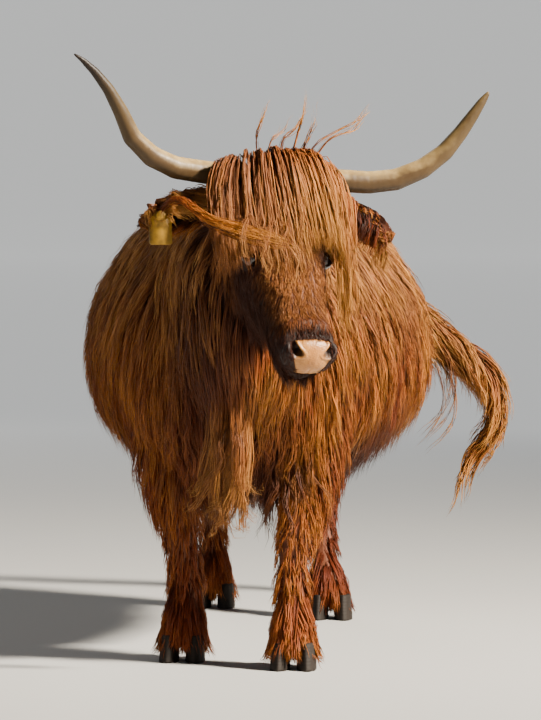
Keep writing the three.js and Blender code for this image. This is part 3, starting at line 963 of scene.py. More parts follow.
def hair_mesh(name, lines, normals, width, traits, root_map):
    """One closed mesh of tapered three-sided hairs. Traits are numbers for each hair."""
    count, rings, _ = lines.shape
    across, out = across_of(lines, normals)
    roll = random.normal(0, 0.35, (count, 1, 1))
    across, out = (
        across * np.cos(roll) + out * np.sin(roll),
        out * np.cos(roll) - across * np.sin(roll),
    )
    share = np.linspace(0, 1, rings)
    taper = (0.55 + 0.45 * np.sin(np.clip(share * 1.6, 0, 1) * np.pi / 2)) * (1 - share**2.4) ** 0.8
    solid = rings - 1
    half = np.broadcast_to(width, count)[:, None, None, None] / 2 * taper[None, :solid, None, None]
    ring = (
        lines[:, :solid, None, :]
        + across[:, :solid, None, :] * SECTION[None, None, :, :1] * half
        + out[:, :solid, None, :] * SECTION[None, None, :, 1:] * half * HAIR_FLATNESS
    )
    per_hair = solid * 3 + 1
    points = np.concatenate([ring.reshape(count, solid * 3, 3), lines[:, -1:, :]], axis=1)
    faces = [[0, 1, 2]]
    for k in range(solid - 1):
        for i in range(3):
            a, b = k * 3 + i, k * 3 + (i + 1) % 3
            faces += [[a, b + 3, b], [a, a + 3, b + 3]]
    top = (solid - 1) * 3
    faces += [[top + i, per_hair - 1, top + (i + 1) % 3] for i in range(3)]
    first = (np.arange(count) * per_hair)[:, None, None]
    loops = (np.array(faces)[None] + first).reshape(-1, 3).astype(np.int32)

    mesh = bpy.data.meshes.new(name)
    mesh.vertices.add(count * per_hair)
    mesh.vertices.foreach_set("co", points.astype(np.float32).ravel())
    mesh.loops.add(loops.size)
    mesh.loops.foreach_set("vertex_index", loops.ravel())
    mesh.polygons.add(len(loops))
    mesh.polygons.foreach_set("loop_start", np.arange(0, loops.size, 3, dtype=np.int32))
    mesh.polygons.foreach_set("use_smooth", np.ones(len(loops), bool))
    mesh.update(calc_edges=True)
    piece = bpy.data.objects.new(name, mesh)
    bpy.context.scene.collection.objects.link(piece)

    set_trait(piece, "along", np.tile(np.repeat(share[:solid], 3).tolist() + [1.0], count))
    set_trait(piece, "across", np.tile([-1.0, 1.0, 0.0] * solid + [0.0], count))
    for trait, values in traits.items():
        set_trait(piece, trait, np.repeat(values, per_hair))
    patch = np.zeros((per_hair, 2))
    patch[:-1, 0] = np.tile([-0.5, 0.5, 0.0], solid)
    patch[:-1, 1] = np.repeat(share[:solid], 3) - 0.5
    patch[-1, 1] = 0.5
    places = (root_map[:, None, :] + patch[None] * BAKE_PATCH).reshape(-1, 2)
    layer = mesh.uv_layers.new(name="OFBake")
    layer.uv.foreach_set("vector", places[loops.ravel()].astype(np.float32).ravel())
    return piece


def marks_with_painted_light_and_shade(points, solids, normals):
    """Where the coat is paler and where it is darker: real pale and dark hair, with painted light on
    the top of the body and painted shade on the right of the neck, the face, round the eyes, on the
    muzzle, in the ear hollows and on the lower flank. The skin takes only the darker values.
    """
    x, y, z = (points - HOME).T
    along_face = -in_head(points)[:, 1]
    body = np.isin(solids, [TRUNK, NECK])
    chest = smoothstep(-y, 0.50, 0.65) * smoothstep(-z, -0.80, -0.60) * gauss(x, 0.09, 0.11)
    # Paler towards the top of the body and neck: partly sun-bleaching of the hair, partly painted light
    # falling from above.
    pale = 0.42 * smoothstep(z, 0.78, 1.12) * body
    pale = np.where(np.isin(solids, TAIL_SOLIDS), 0.30, pale)
    pale = np.where(solids == HEAD, 0.20, pale)
    # Darker on the lower flank and belly: partly the coat's own darker red-brown, partly painted shade.
    belly = smoothstep(-z, -0.72, -0.55) * smoothstep(y, -0.45, -0.15)
    # Painted shadow of the head on the right side of the neck and forequarter, as darker hair.
    painted_shoulder_shadow = gauss(x, -0.04, 0.11) * gauss(z, 0.83, 0.19) * smoothstep(-y, 0.45, 0.60)
    lower = 0.90 * belly + 0.60 * smoothstep(-z, -0.76, -0.50)
    dark = np.where(body, lower + 0.5 * chest + 0.85 * painted_shoulder_shadow, 0)
    local = in_head(points)
    # Painted shade on the face: darker low on its sides, and more so on its right side.
    sides = 1 - smoothstep(local[:, 2] + 0.25 * local[:, 0], -0.085, 0.025)
    dark = np.where(solids == HEAD, 0.97 * sides * smoothstep(along_face, 0.05, 0.20), dark)
    # Painted shade: the hair round each eye is darkened as if in the forelock's shade.
    painted_shade_round_eye = 0.9 - 0.9 * smoothstep(from_eye(points), 0.034, 0.058)
    dark = np.where(solids == HEAD, np.maximum(dark, painted_shade_round_eye), dark)
    # Muzzle and jaw: darker hair all over, with painted shade on their lower sides and painted shadow
    # on the band above the nose pad.
    dark_snout_and_painted_shade = 0.38 + 0.60 * np.maximum(sides, smoothstep(along_face, 0.412, 0.432))
    dark = np.where(np.isin(solids, [MUZZLE, JAW]), dark_snout_and_painted_shade, dark)
    # Painted shade in the hollow of each ear.
    for side in (-1, 1):
        out, height, _, forward = in_ear(points, side)
        hollow = 1 - smoothstep(np.abs(height), 0.026, 0.04)
        hollow = smoothstep(normals @ forward, 0.1, 0.5) * hollow
        near = np.isin(solids, EAR_SOLIDS) * ((x > HEAD_X) == (side > 0))
        dark = np.where(near, 0.95 * hollow * (1 - smoothstep(out, 0.85, 1.0)), dark)
    return np.clip(pale, 0, 1), np.clip(dark, 0, 1)


def bands(points):
    """Broad bands of lighter and darker locks that run down the coat, from 0 to 1."""
    broad, narrow = points * [6.0, 6.0, 1.1], points * [19.0, 19.0, 3.0]
    drift = [noise.noise(Vector(spot)) for spot in broad]
    streak = [noise.noise(Vector(spot)) for spot in narrow]
    return 0.5 + 0.75 * np.array(drift) + 0.45 * np.array(streak)


def grow(
    pieces, slot, lines, guides, roots, rings, width,
    replaced=(), tone=0.45, vary=0.10, plain=0.0, bleach=0.0, **gathering,
):
    """Grows hair from the roots along the locks, as one piece for each name and its roots."""
    hairs, owner = tuft(guides, lines, roots, rings, **gathering)
    shade = tone + 1.0 * (bands(guides.points) - 0.5) + random.normal(0, vary, len(guides))
    shade = np.clip(shade[owner] + random.normal(0, 0.6 * vary, len(roots)), 0, 1)
    pale, dark = marks_with_painted_light_and_shade(roots.points, roots.solids, roots.normals)
    pale, dark = np.clip(pale + bleach, 0, 1), dark * max(0, 1 - 2.5 * bleach)
    places = chart.of(roots.points)
    _, facing, _ = hide.under(hairs.reshape(-1, 3))
    facing = facing.reshape(hairs.shape)
    width = np.broadcast_to(width, len(roots)) * random.uniform(0.55, 1.3, len(roots))
    for name, keep in pieces.items():
        traits = {"tone": shade[keep], "pale": pale[keep], "dark": dark[keep]}
        traits["plain"] = np.full(keep.sum(), plain)
        traits["lock"] = random.uniform(0, 90, keep.sum())
        piece = hair_mesh(name, hairs[keep], facing[keep], width[keep], traits, places[keep])
        piece.data.materials.append(coat)
        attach(piece, "root")
        if replaced:
            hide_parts(*replaced)


def coat_finish():
    """Hair: dark and red at the root, golden to the tip; lighter where the pale trait is set, partly
    sun-bleaching and partly painted light, and darker where the dark trait is set, partly dark hair and
    partly painted shade.
    """
    finish = Finish("coat")
    tone, pale, plain = finish.trait("tone"), finish.trait("pale"), finish.trait("plain")
    along = finish.trait("along") * (1 - plain) + plain * 0.55
    root = finish.mix(tone, srgb("3a1c11"), srgb("66361f"))
    middle = finish.mix(tone, srgb("6c2c10"), srgb("b05b1e"))
    tip = finish.mix(tone, srgb("944716"), srgb("de9638"))
    colour = finish.mix(finish.spread(along, 0.05, 0.35), root, middle)
    colour = finish.mix(finish.spread(along, 0.35, 0.95), colour, tip)
    # Paler hair: sun-bleaching, with painted light on the top of the body.
    sunbleach_and_painted_light = finish.mix(along, srgb("955e32"), srgb("eabb70"))
    colour = finish.mix(pale, colour, sunbleach_and_painted_light)
    # Darkest hair: dark hair, with painted shade on the face, round the eyes, on the neck and on the
    # lower flank.
    dark_hair_and_painted_shade = finish.mix(along, srgb("1d0e08"), srgb("542612"))
    colour = finish.mix(finish.trait("dark"), colour, dark_hair_and_painted_shade)
    lock = finish.trait("lock")
    fibre = finish.node(
        "ShaderNodeCombineXYZ", {}, finish.trait("across") * 2.4 + lock, along * 1.4, lock * 3.7
    )
    streak = finish.noise(fibre, 1.0, 3.0, 0.65)
    colour = finish.mix(finish.spread(streak, 0.62, 0.30), colour, srgb("8a6a58"), "MULTIPLY")
    finish.shader.inputs["Specular IOR Level"].default_value = 0.2
    roughness = finish.spread(streak, 0.3, 0.7, 0.48, 0.62)
    normal = finish.bump(streak, 0.7, 0.0012)
    return finish.wear(Base_Color=colour, Roughness=roughness, Normal=normal)


def side_of(points):
    """True on the cow's left."""
    return points[:, 0] > ORIGIN.x


def by_left_ear(points):
    """True on the left of the head."""
    return points[:, 0] > ORIGIN.x + HEAD_X


def trunk_coat():
    """The long coat of the body and the neck, in five pieces."""
    where = hide.on(TRUNK, NECK)
    guides = spaced(hide.scatter(26000, where), 0.022)
    z = guides.points[:, 2]
    length = 0.15 + 0.08 * smoothstep(-z, -1.10, -0.92) - 0.05 * smoothstep(-z, -0.62, -0.50)
    depth = coat_depth(guides.points, guides.solids) * random.uniform(0.55, 1.0, len(guides))
    lines = comb(hide, guides, body_lie, length, depth, swirl=0.12)
    lines = wavy(lines, guides.normals, length, 0.005, 0.22)
    roots = hide.scatter(HAIRS["trunk"], where)
    neck = roots.solids == NECK
    left, rear = side_of(roots.points), roots.points[:, 1] > ORIGIN.y + 0.06
    pieces = {
        "trunk_coat_right_fore": ~neck & ~left & ~rear,
        "trunk_coat_right_rear": ~neck & ~left & rear,
        "trunk_coat_left_fore": ~neck & left & ~rear,
        "trunk_coat_left_rear": ~neck & left & rear,
        "neck_coat": neck,
    }
    grow(pieces, "coat", lines, guides, roots, 4, 0.0044, gather=0.5)


def leg_coat():
    """Shaggy hair on the legs, which hangs free and flares over the hooves."""
    where = hide.on(*LEG_SOLIDS)
    guides = spaced(hide.scatter(12000, where), 0.014)
    z = guides.points[:, 2]
    behind = smoothstep(guides.normals[:, 1], 0.1, 0.8)
    pastern = smoothstep(-z, -0.20, -0.12)
    length = 0.070 + 0.030 * behind + 0.08 * smoothstep(z, 0.30, 0.50)
    length = np.where(z < 0.20, 1.25 * z + 0.02, length)
    depth = coat_depth(guides.points, guides.solids) * random.uniform(0.35, 0.8, len(guides))
    depth = depth + 0.008 + 0.018 * pastern + 0.005 * behind
    lines = comb(hide, guides, leg_lie, length, depth, swirl=0.12, steps=9)
    lines = wavy(lines, guides.normals, length, 0.003, 0.09)
    share = np.linspace(0, 1, lines.shape[1])[None, :, None]
    low = 0.024 * smoothstep(-guides.normals[:, 1], 0.3, 0.9) + random.uniform(-0.02, 0.01, len(z))
    outward = guides.normals * [1, 1, 0]
    hang = guides.points[:, None, :] + outward[:, None, :] * (0.006 + 0.034 * share**0.9)
    hang = hang + DOWN * (z - low)[:, None, None] * share
    hanging = smoothstep(-z, -0.17, -0.11)[:, None, None]
    lines = lines * (1 - hanging) + hang * hanging
    lines[:, :, 2] = np.maximum(lines[:, :, 2], 0.016)
    roots = hide.scatter(HAIRS["leg"], where * (1 + 1.5 * smoothstep(-hide.middles[:, 2], -0.3, -0.15)))
    left = side_of(roots.points)
    pieces = {"leg_coat_left": left, "leg_coat_right": ~left}
    grow(
        pieces, "coat", lines, guides, roots, 4, 0.0040,
        gather=0.5, tone=0.18, loose=0.001, plain=0.4,
    )


def face_coat():
    """Short hair on the face, longer under the cheeks and the jaw."""
    local = fold(in_head(hide.middles))
    clear = np.linalg.norm(local - EYE_PLACE, axis=1) > 0.022
    lips = 1 - pad_mask(local)
    where = hide.on(HEAD, JAW, MUZZLE) * clear * lips
    guides = spaced(hide.scatter(9000, where), 0.010)
    along = -in_head(guides.points)[:, 1]
    length = 0.060 - 0.030 * smoothstep(along, 0.08, 0.28) - 0.014 * smoothstep(along, 0.40, 0.46)
    low = smoothstep(-in_head(guides.points)[:, 2], 0.040, 0.095) * (1 - smoothstep(along, 0.41, 0.46))
    length = length + 0.055 * low
    depth = coat_depth(guides.points, guides.solids) * random.uniform(0.15, 0.32, len(guides)) + 0.001
    depth = depth + 0.012 * low * random.random(len(guides))
    lines = comb(hide, guides, face_lie, length, depth, swirl=0.12, steps=8, sag=0.15 + 0.5 * low)
    roots = hide.scatter(HAIRS["face"], where * (1 + 1.6 * smoothstep(-local[:, 1], 0.1, 0.3)))
    every = np.ones(len(roots), bool)
    narrow = 0.0028 - 0.0012 * smoothstep(-in_head(roots.points)[:, 1], 0.1, 0.35)
    grow(
        {"face_coat": every}, "coat", lines, guides, roots, 3, narrow,
        gather=0.15, loose=0.0003, frizz=0.0003, tone=0.5, vary=0.03, plain=0.8,
    )


MOP = [  # half width, way back, height over the face and how far the sides drop
    (0.078, 0.070, 0.085, 0.018),
    (0.126, 0.012, 0.144, 0.034),
    (0.156, -0.070, 0.132, 0.060),
    (0.158, -0.160, 0.092, 0.072),
    (0.154, -0.250, 0.050, 0.068),
    (0.150, -0.335, 0.012, 0.062),
    (0.145, -0.430, -0.030, 0.050),
]


def parted(lines):
    """Ends each line where it would hang before the left eye."""
    local = in_head(lines.reshape(-1, 3)).reshape(lines.shape) - EYE_PLACE
    sight = to_head @ unit(np.array([0.07, -1.0, 0.03]))
    out = local @ sight
    apart = np.linalg.norm(local - out[:, :, None] * sight, axis=2)
    before = (apart < 0.027) & (out > -0.01)
    steps = lines.shape[1]
    first = np.where(before.any(axis=1), before.argmax(axis=1), steps - 1)
    return sampled(lines, np.arange(len(lines)), np.maximum(first, 4) / (steps - 1), steps)


def forelock_coat():
    """Locks from the poll that arch over it and fall in a fan over the face."""
    fan, back = np.meshgrid(np.linspace(-0.97, 0.97, 44), np.linspace(-0.070, 0.050, 19))
    count = fan.size
    fan = fan.ravel() + random.uniform(-0.022, 0.022, count)
    back = back.ravel() + random.uniform(-0.0035, 0.0035, count)
    crest = np.stack([fan * 0.088, back, np.full(count, 0.07)], axis=1)
    points, normals, _ = hide.under(out_of_head(crest))
    guides = Roots(points, normals, np.full(count, HEAD))
    layer = 0.42 + 0.58 * ((back + 0.075) / 0.13) ** 0.5 + random.normal(0, 0.018, count)
    astray = random.normal(0, 0.006, count)
    knots = np.stack(
        [
            np.stack(
                [
                    fan * wide - 0.006 + 0.014 * row * (1 - fan**2) + 0.6 * row * astray,
                    np.full(count, way),
                    high - drop * fan**2,
                ],
                axis=1,
            )
            for row, (wide, way, high, drop) in enumerate(MOP)
        ],
        axis=1,
    )
    knots = lines_out_of_head(knots)
    open_eye = gauss(fan, 0.42 + 0.2 * (1 - layer), 0.17)
    reach = 4.45 - 0.5 * open_eye + 1.25 * smoothstep(fan, 0.72, 0.85)
    reach = reach - 0.35 * smoothstep(-fan, 0.35, 0.75)
    reach = reach + random.normal(0, 0.16, count) * (1 - 0.7 * open_eye)
    start = np.interp(-back, [-0.070, -0.012, 0.07], [0, 1, 2]) - 0.1
    share = np.linspace(0, 1, 20)[None, :]
    lines = through(knots, np.clip(start[:, None] + share * (reach - start)[:, None], 0, 6))
    skin_under, _, _ = hide.under(lines.reshape(-1, 3))
    skin_under = skin_under.reshape(lines.shape)
    lines = skin_under + (lines - skin_under) * layer[:, None, None]
    leave = smoothstep(share, -0.04, 0.26)[:, :, None]
    lines = points[:, None, :] * (1 - leave) + lines * leave
    length = np.linalg.norm(np.diff(lines, axis=1), axis=2).sum(axis=1)
    lines = parted(clear_of_skin(wavy(lines, guides.normals, length, 0.0045, 0.21), 0.006))
    local = in_head(hide.middles)
    where = (np.abs(local[:, 0]) < 0.098) * (local[:, 1] > -0.085) * (local[:, 1] < 0.065)
    roots = hide.scatter(HAIRS["forelock"], where * (local[:, 2] > -0.02))
    every = {"forelock_hair": np.ones(len(roots), bool)}
    grow(
        every, "fringe", lines, guides, roots, 9, 0.0031, replaced=["forelock"], gather=0.25,
        # Painted shade: the forelock's lower layers, under the others, and its right side are given a
        # darker tone.
        tone=0.64 + 0.6 * (layer - 0.75) + 0.75 * (smoothstep(fan, -0.6, 0.8) - 0.62), vary=0.24,
        loose=0.003, frizz=0.0008,
    )


def brisket_coat():
    """The fringe that hangs from the brisket."""
    local = hide.middles - HOME
    where = (np.abs(local[:, 0]) < 0.15) * (local[:, 1] < -0.60) * hide.on(TRUNK, NECK)
    where = where * (local[:, 2] < 0.70) * (local[:, 2] > 0.45)
    guides = spaced(hide.scatter(2000, where), 0.02)
    length = random.uniform(0.18, 0.30, len(guides))
    depth = coat_depth(guides.points, guides.solids) * random.uniform(0.7, 1.2, len(guides))
    lines = comb(hide, guides, body_lie, length, depth, swirl=0.12, steps=16)
    lines = wavy(lines, guides.normals, length, 0.014, 0.11)
    roots = hide.scatter(HAIRS["brisket"], where)
    every = np.ones(len(roots), bool)
    grow(
        {"brisket_hair": every}, "fringe", lines, guides, roots, 10, 0.0045,
        replaced=["brisket_fringe"], gather=0.75, tone=0.5,
    )


def styled(name, slot, knots, hairs_each, reach, wave, pitch, width=0.003, **looks):
    """Loose locks along chosen lines: each row of knots starts at the skin and ends in the air."""
    knots = np.array(knots, float)
    starts, normals, _ = hide.under(knots[:, 0])
    knots[:, 0] = starts
    faces, _ = nearest(outside, starts)
    guides = Roots(starts, normals, solid_of_face[faces])
    at = np.linspace(0, knots.shape[1] - 1, 18)[None, :].repeat(len(knots), axis=0)
    lines = through(knots, np.clip(at, 0, knots.shape[1] - 1.001))
    length = np.linalg.norm(np.diff(lines, axis=1), axis=2).sum(axis=1)
    lines = clear_of_skin(wavy(lines, normals, length, wave, pitch), 0.004)
    spots = starts.repeat(hairs_each, axis=0) + random.normal(0, reach, (len(knots) * hairs_each, 3))
    points, normals, _ = hide.under(spots)
    roots = Roots(points, normals, guides.solids.repeat(hairs_each))
    every = {name: np.ones(len(roots), bool)}
    grow(every, slot, lines, guides, roots, 13, width, **looks)


def chest_curls():
    """Long pale locks that curl down between the fore legs."""
    knots = []
    for i in range(28):
        x = -0.040 + 0.085 * (i % 14) / 13 + random.normal(0, 0.010)
        top, reach = random.uniform(0.62, 0.90), random.uniform(0.32, 0.44)
        front = -0.83 - 0.03 * random.random()
        knots.append(
            [
                (x * 0.8, -0.76, top),
                (x * 0.9, front, top - 0.07),
                (x, front + 0.03, 0.5 * (top + reach)),
                (x - 0.015 * (i % 3), front + 0.06, reach + 0.06),
                (x - 0.045 * (i % 3) + 0.02, front + 0.07, reach + 0.015),
                (x - 0.050 * (i % 3) + 0.04, front + 0.06, reach + 0.045),
            ]
        )
    knots = np.array(knots) + HOME
    styled(
        "chest_curls", "fringe", knots, 12, 0.010, 0.016, 0.14,
        width=0.0026, tone=0.75, vary=0.25, bleach=0.3, gather=0.6,
    )


def poll_wisps():
    """Thin wisps that stand up from the poll."""
    knots = []
    for i in range(7):
        fan = -0.55 + 0.28 * i + random.normal(0, 0.05)
        high = random.uniform(0.17, 0.24)
        lean = random.normal(0.02, 0.02)
        knots.append(
            [
                (fan * 0.07, 0.02, 0.06),
                (fan * 0.10, 0.035, 0.12),
                (fan * 0.13 + lean, 0.06, 0.5 * (0.12 + high)),
                (fan * 0.13 + 2 * lean, 0.10, high),
            ]
        )
    wisps = lines_out_of_head(knots)
    styled(
        "poll_wisps", "fringe", wisps, 6, 0.004, 0.004, 0.12,
        width=0.0034, tone=0.75, gather=0.9,
    )


def swept_lock():
    """The lock that lies from the right ear over the face."""
    knots = []
    for i in range(6):
        drop, off = 0.005 * i, random.normal(0, 0.006)
        knots.append(
            [
                (-0.170 + 0.020 * i, -1.050, 1.140),
                (-0.125 + 0.012 * i, -1.085, 1.152 - 0.4 * drop),
                (-0.070 + 0.006 * i, -1.105, 1.134 - drop),
                (-0.020, -1.125 + off, 1.108 - drop),
                (0.062, -1.152, 1.086 - 1.2 * drop),
                (0.135, -1.166 + off, 1.066 - drop),
                (0.160 + 0.014 * i, -1.160, 1.040 - 0.5 * drop),
            ]
        )
    swept = np.array(knots) + HOME
    styled(
        "swept_lock", "fringe", swept, 11, 0.006, 0.007, 0.19,
        width=0.0026, tone=0.85, gather=0.6,
    )


def brow_curls():
    """Small curls over the brow."""
    knots = []
    for i in range(15):
        x = -0.120 + 0.0075 * i + random.normal(0, 0.006)
        along = random.uniform(0.20, 0.30)
        turn = random.choice([-1, 1]) * random.uniform(0.012, 0.026)
        knots.append(
            [
                (x, -0.14, 0.02),
                (x, -along + 0.05, 0.075),
                (x + turn, -along, 0.062),
                (x + 0.6 * turn, -along - 0.035, 0.040),
                (x - 0.4 * turn, -along - 0.030, 0.036),
            ]
        )
    curls = lines_out_of_head(knots)
    styled(
        "brow_curls", "fringe", curls, 4, 0.005, 0.004, 0.06,
        width=0.0016, tone=0.85, bleach=0.15, gather=0.6,
    )


def lines_out_of_head(knots):
    """Rows of knots in the head's frame, in the model's own."""
    knots = np.array(knots)
    return out_of_head(knots.reshape(-1, 3)).reshape(knots.shape)


def ear_axes(side):
    """Where an ear starts, its whole run, the way up across it and the way forward."""
    base, tip = (HOME + np.array(end) for end in EAR_LINES[side])
    run = tip - base
    _, _, _, forward = in_ear(base[None], side)
    return base, run, np.cross(forward, unit(run)) * side, forward


def ear_line(axes, out, shape):
    """A lock's knots from this share of the way out, each a step out, up and forward."""
    base, run, up, forward = axes
    stray = random.normal(0, 0.006, (5, 3)) * np.linspace(0, 1, 5)[:, None]
    line = [base + (out + o) * run + h * up + f * forward for o, h, f in shape]
    return np.array(line) + stray


def ear_locks():
    """Hair from the ears' rims: it curls in over the right hollow and hangs from the left."""
    for side, name in ((-1, "ear_locks_right"), (1, "ear_locks_left")):
        axes = ear_axes(side)
        knots = []
        for i in range(30 if side < 0 else 22):
            out = 0.25 + 0.75 * (i % 22) / 21
            if side > 0:
                out = 0.66 + 0.36 * i / 21
            if i >= 22:
                out = 0.62 + 0.42 * (i - 22) / 7
                shape = [(0, 0.028, 0.0), (-0.01, 0.034, 0.030), (-0.03, 0.010, 0.052)]
                shape += [(-0.07, -0.016, 0.056), (-0.13, -0.036, 0.050)]
            elif side < 0:
                shape = [(0, 0.030, 0.0), (-0.05, 0.034, 0.022), (-0.22, 0.012, 0.038)]
                shape += [(-0.45, -0.012, 0.045), (-0.62, -0.040, 0.045)]
            else:
                shape = [(0, -0.020, 0.004), (0.05, -0.030, 0.012), (0.12, -0.052, 0.012)]
                shape += [(0.16, -0.080, 0.010), (0.17, -0.105, 0.008)]
            knots.append(ear_line(axes, out, shape))
        styled(
            name, "coat", knots, 12, 0.006, 0.005, 0.13,
            width=0.0028, tone=0.95, vary=0.12, bleach=0.3,
        )


def ear_fringe():
    """Dark hair that hangs from the left ear's lower rim, its darkness painted shade of the ear's
    hollow.
    """
    axes = ear_axes(1)
    knots = []
    for i in range(16):
        out = 0.10 + 0.62 * i / 15
        shape = [(0, 0.010, 0.004), (0.04, -0.004, 0.016), (0.05, -0.030, 0.020)]
        shape += [(0.06, -0.062, 0.014), (0.05, -0.095 + 0.03 * out, 0.004)]
        knots.append(ear_line(axes, out, shape))
    styled(
        "ear_fringe_left", "coat", knots, 10, 0.007, 0.004, 0.13,
        # Painted shade: the darkest tone, for the hollow of the ear.
        width=0.0026, tone=-0.2, vary=0.1,
    )


def tail_wisps():
    """Four thin locks that hang free before the switch."""
    knots = []
    for drop, lean in ((0, 0), (0.018, 0.012), (0.045, -0.02), (0.06, 0.01)):
        knots.append(
            [
                (0.40, 0.955, 0.78 - drop),
                (0.462 + lean, 0.945, 0.68 - drop),
                (0.474 + lean, 0.940, 0.60 - drop),
                (0.440 + lean, 0.935, 0.52 - drop),
                (0.370 + lean, 0.930, 0.455 - drop),
            ]
        )
    knots = np.array(knots) + HOME
    styled("tail_wisps", "fringe", knots, 7, 0.005, 0.004, 0.15, width=0.0034, tone=0.6)


def ear_coat():
    """Hair on the backs and edges of the ears, thin in their hollows."""
    back = np.ones(len(hide.middles))
    normals = hide.normals[hide.triangles].mean(axis=1)
    for side in (-1, 1):
        _, height, _, forward = in_ear(hide.middles, side)
        hollow = smoothstep(normals @ forward, 0.3, 0.7) * (np.abs(height) < 0.030)
        same = by_left_ear(hide.middles) == (side > 0)
        back = np.where(same, 1 - 0.75 * hollow, back)
    where = hide.on(*EAR_SOLIDS) * back
    guides = spaced(hide.scatter(3000, where), 0.009)
    left = by_left_ear(guides.points)
    over = [in_ear(guides.points, side)[1] for side in (-1, 1)]
    above = smoothstep(np.where(left, over[1], over[0]), -0.01, 0.03)
    length = random.uniform(0.04, 0.09, len(guides)) * (1 - 0.5 * above)
    depth = random.uniform(0.005, 0.014, len(guides))
    lines = comb(hide, guides, ear_lie, length, depth, swirl=0.2, steps=10, sag=0.4, give=0.01)
    lines = wavy(lines, guides.normals, length, 0.004, 0.07)
    roots = hide.scatter(HAIRS["ear"], where)
    left = by_left_ear(roots.points)
    pieces = {"ear_coat_left": left, "ear_coat_right": ~left}
    grow(pieces, "coat", lines, guides, roots, 7, 0.0033, gather=0.6, tone=0.62, loose=0.002)


def tail_coat():
    """Long hair down the tail and its switch."""
    where = hide.on(*TAIL_SOLIDS)
    guides = spaced(hide.scatter(3000, where), 0.013)
    length = random.uniform(0.14, 0.26, len(guides))
    depth = random.uniform(0.008, 0.035, len(guides))
    lines = comb(hide, guides, tail_lie, length, depth, swirl=0.12, steps=14, sag=0.55, give=0.02)
    lines = wavy(lines, guides.normals, length, 0.008, 0.14)
    roots = hide.scatter(HAIRS["tail"], where)
    every = np.ones(len(roots), bool)
    grow({"tail_hair": every}, "fringe", lines, guides, roots, 9, 0.0045, gather=0.6, tone=0.7)


# ---- horn, hoof, eye and tag ---------------------------------------------------------------
def refined_copy(node, size, settle, share=0.5):
    """A copy of a solid with its facets worn round, at this size of mesh."""
    copy = bpy.data.objects.new(node + "_fine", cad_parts[node].data.copy())
    bpy.context.scene.collection.objects.link(copy)
    copy.data.materials.clear()
    in_edit(copy, lambda: bpy.ops.mesh.remove_doubles(threshold=1e-5))
    voxel_remesh(copy, size)
    place_points(copy, relax(positions(copy), edges_of(copy), settle, share))
    return copy


def shown(piece, node, material):
    """Shows the piece, smooth and finished, in the place of a node."""
    alone(piece)
    bpy.ops.object.shade_smooth()
    piece.data.materials.append(material)
    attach(piece, "root")
    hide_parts(node)


HORN_LINES = {
    "horn_right": [
        (0.060, -0.955, 1.194),
        (-0.046, -1.002, 1.207),
        (-0.130, -1.050, 1.226),
        (-0.198, -1.098, 1.284),
        (-0.236, -1.133, 1.374),
        (-0.292, -1.171, 1.452),
        (-0.329, -1.192, 1.482),
    ],
    "horn_left": [
        (0.165, -0.916, 1.190),
        (0.269, -0.872, 1.185),
        (0.384, -0.837, 1.184),
        (0.489, -0.817, 1.232),
        (0.554, -0.807, 1.304),
        (0.598, -0.801, 1.369),
        (0.620, -0.800, 1.399),
    ],
}


def share_along(points, line):
    """How far along a line of points each point lies, from 0 to 1."""
    line = np.array(line) + HOME
    lengths = np.concatenate([[0], np.cumsum(np.linalg.norm(np.diff(line, axis=0), axis=1))])
    best = np.full(len(points), np.inf)
    share = np.zeros(len(points))
    for i in range(len(line) - 1):
        run = line[i + 1] - line[i]
        t = np.clip((points - line[i]) @ run / (run @ run), 0, 1)
        apart = np.linalg.norm(points - line[i] - t[:, None] * run, axis=1)
        near = apart < best
        best[near] = apart[near]
        share[near] = (lengths[i] + t * np.linalg.norm(run))[near]
    return share / lengths[-1]


def horns():
    """Both horns, ringed towards the root."""
    finish = horn_finish()
    for node, line in HORN_LINES.items():
        horn = refined_copy(node, 0.0035, 12)
        points = positions(horn)
        out = share_along(points, line)
        normals = normals_of(points, triangles_of(horn))
        rings = np.sin(out * 2 * np.pi * 34) + 0.6 * np.sin(out * 2 * np.pi * 21 + 1)
        swell = 0.00012 * rings * (1 - smoothstep(out, 0.30, 0.55))
        place_points(horn, points + normals * (swell + 0.0004)[:, None])
        set_trait(horn, "out", out)
        set_trait(horn, "tip", smoothstep(out, 0.62, 0.92) * (1.0 if node == "horn_right" else 0.3))
        shown(horn, node, finish)


def horn_finish():
    """Horn: creamy over the root, brown to the middle, dark at the tip, with painted shade in dark
    brown on the side that faces down.
    """
    finish = Finish("horn")
    place, out = finish.place(), finish.trait("out")
    # Painted shade: the horn turns dark brown where its surface faces down and stays creamy where it
    # faces up.
    above = finish.node("ShaderNodeSeparateXYZ", {}, finish.facing(), out=2)
    cloud = finish.noise(place, 14.0, 4.0)
    pale = finish.mix(finish.noise(place, 60.0, 3.0), srgb("7c5f34"), srgb("c4aa74"))
    painted_underside_shade = finish.mix(cloud, srgb("241508"), srgb("463019"))
    under = finish.spread(above + (cloud - 0.5) * 1.6, 0.95, 0.05)
    colour = finish.mix(under * 0.92, pale, painted_underside_shade)
    middle = finish.spread(out + (cloud - 0.5) * 0.25, 0.50, 0.80)
    colour = finish.mix(middle * 0.5, colour, srgb("5c4a2c"))
    colour = finish.mix(finish.trait("tip"), colour, srgb("241a12"))
    streaks = finish.noise(finish.stretched(place, 30, 30, 9), 6.0, 4.0)
    finish.shader.inputs["Specular IOR Level"].default_value = 0.3
    roughness = finish.spread(streaks, 0.3, 0.7, 0.38, 0.55)
    return finish.wear(
        Base_Color=colour, Roughness=roughness, Normal=finish.bump(streaks, 0.15, 0.001)
    )


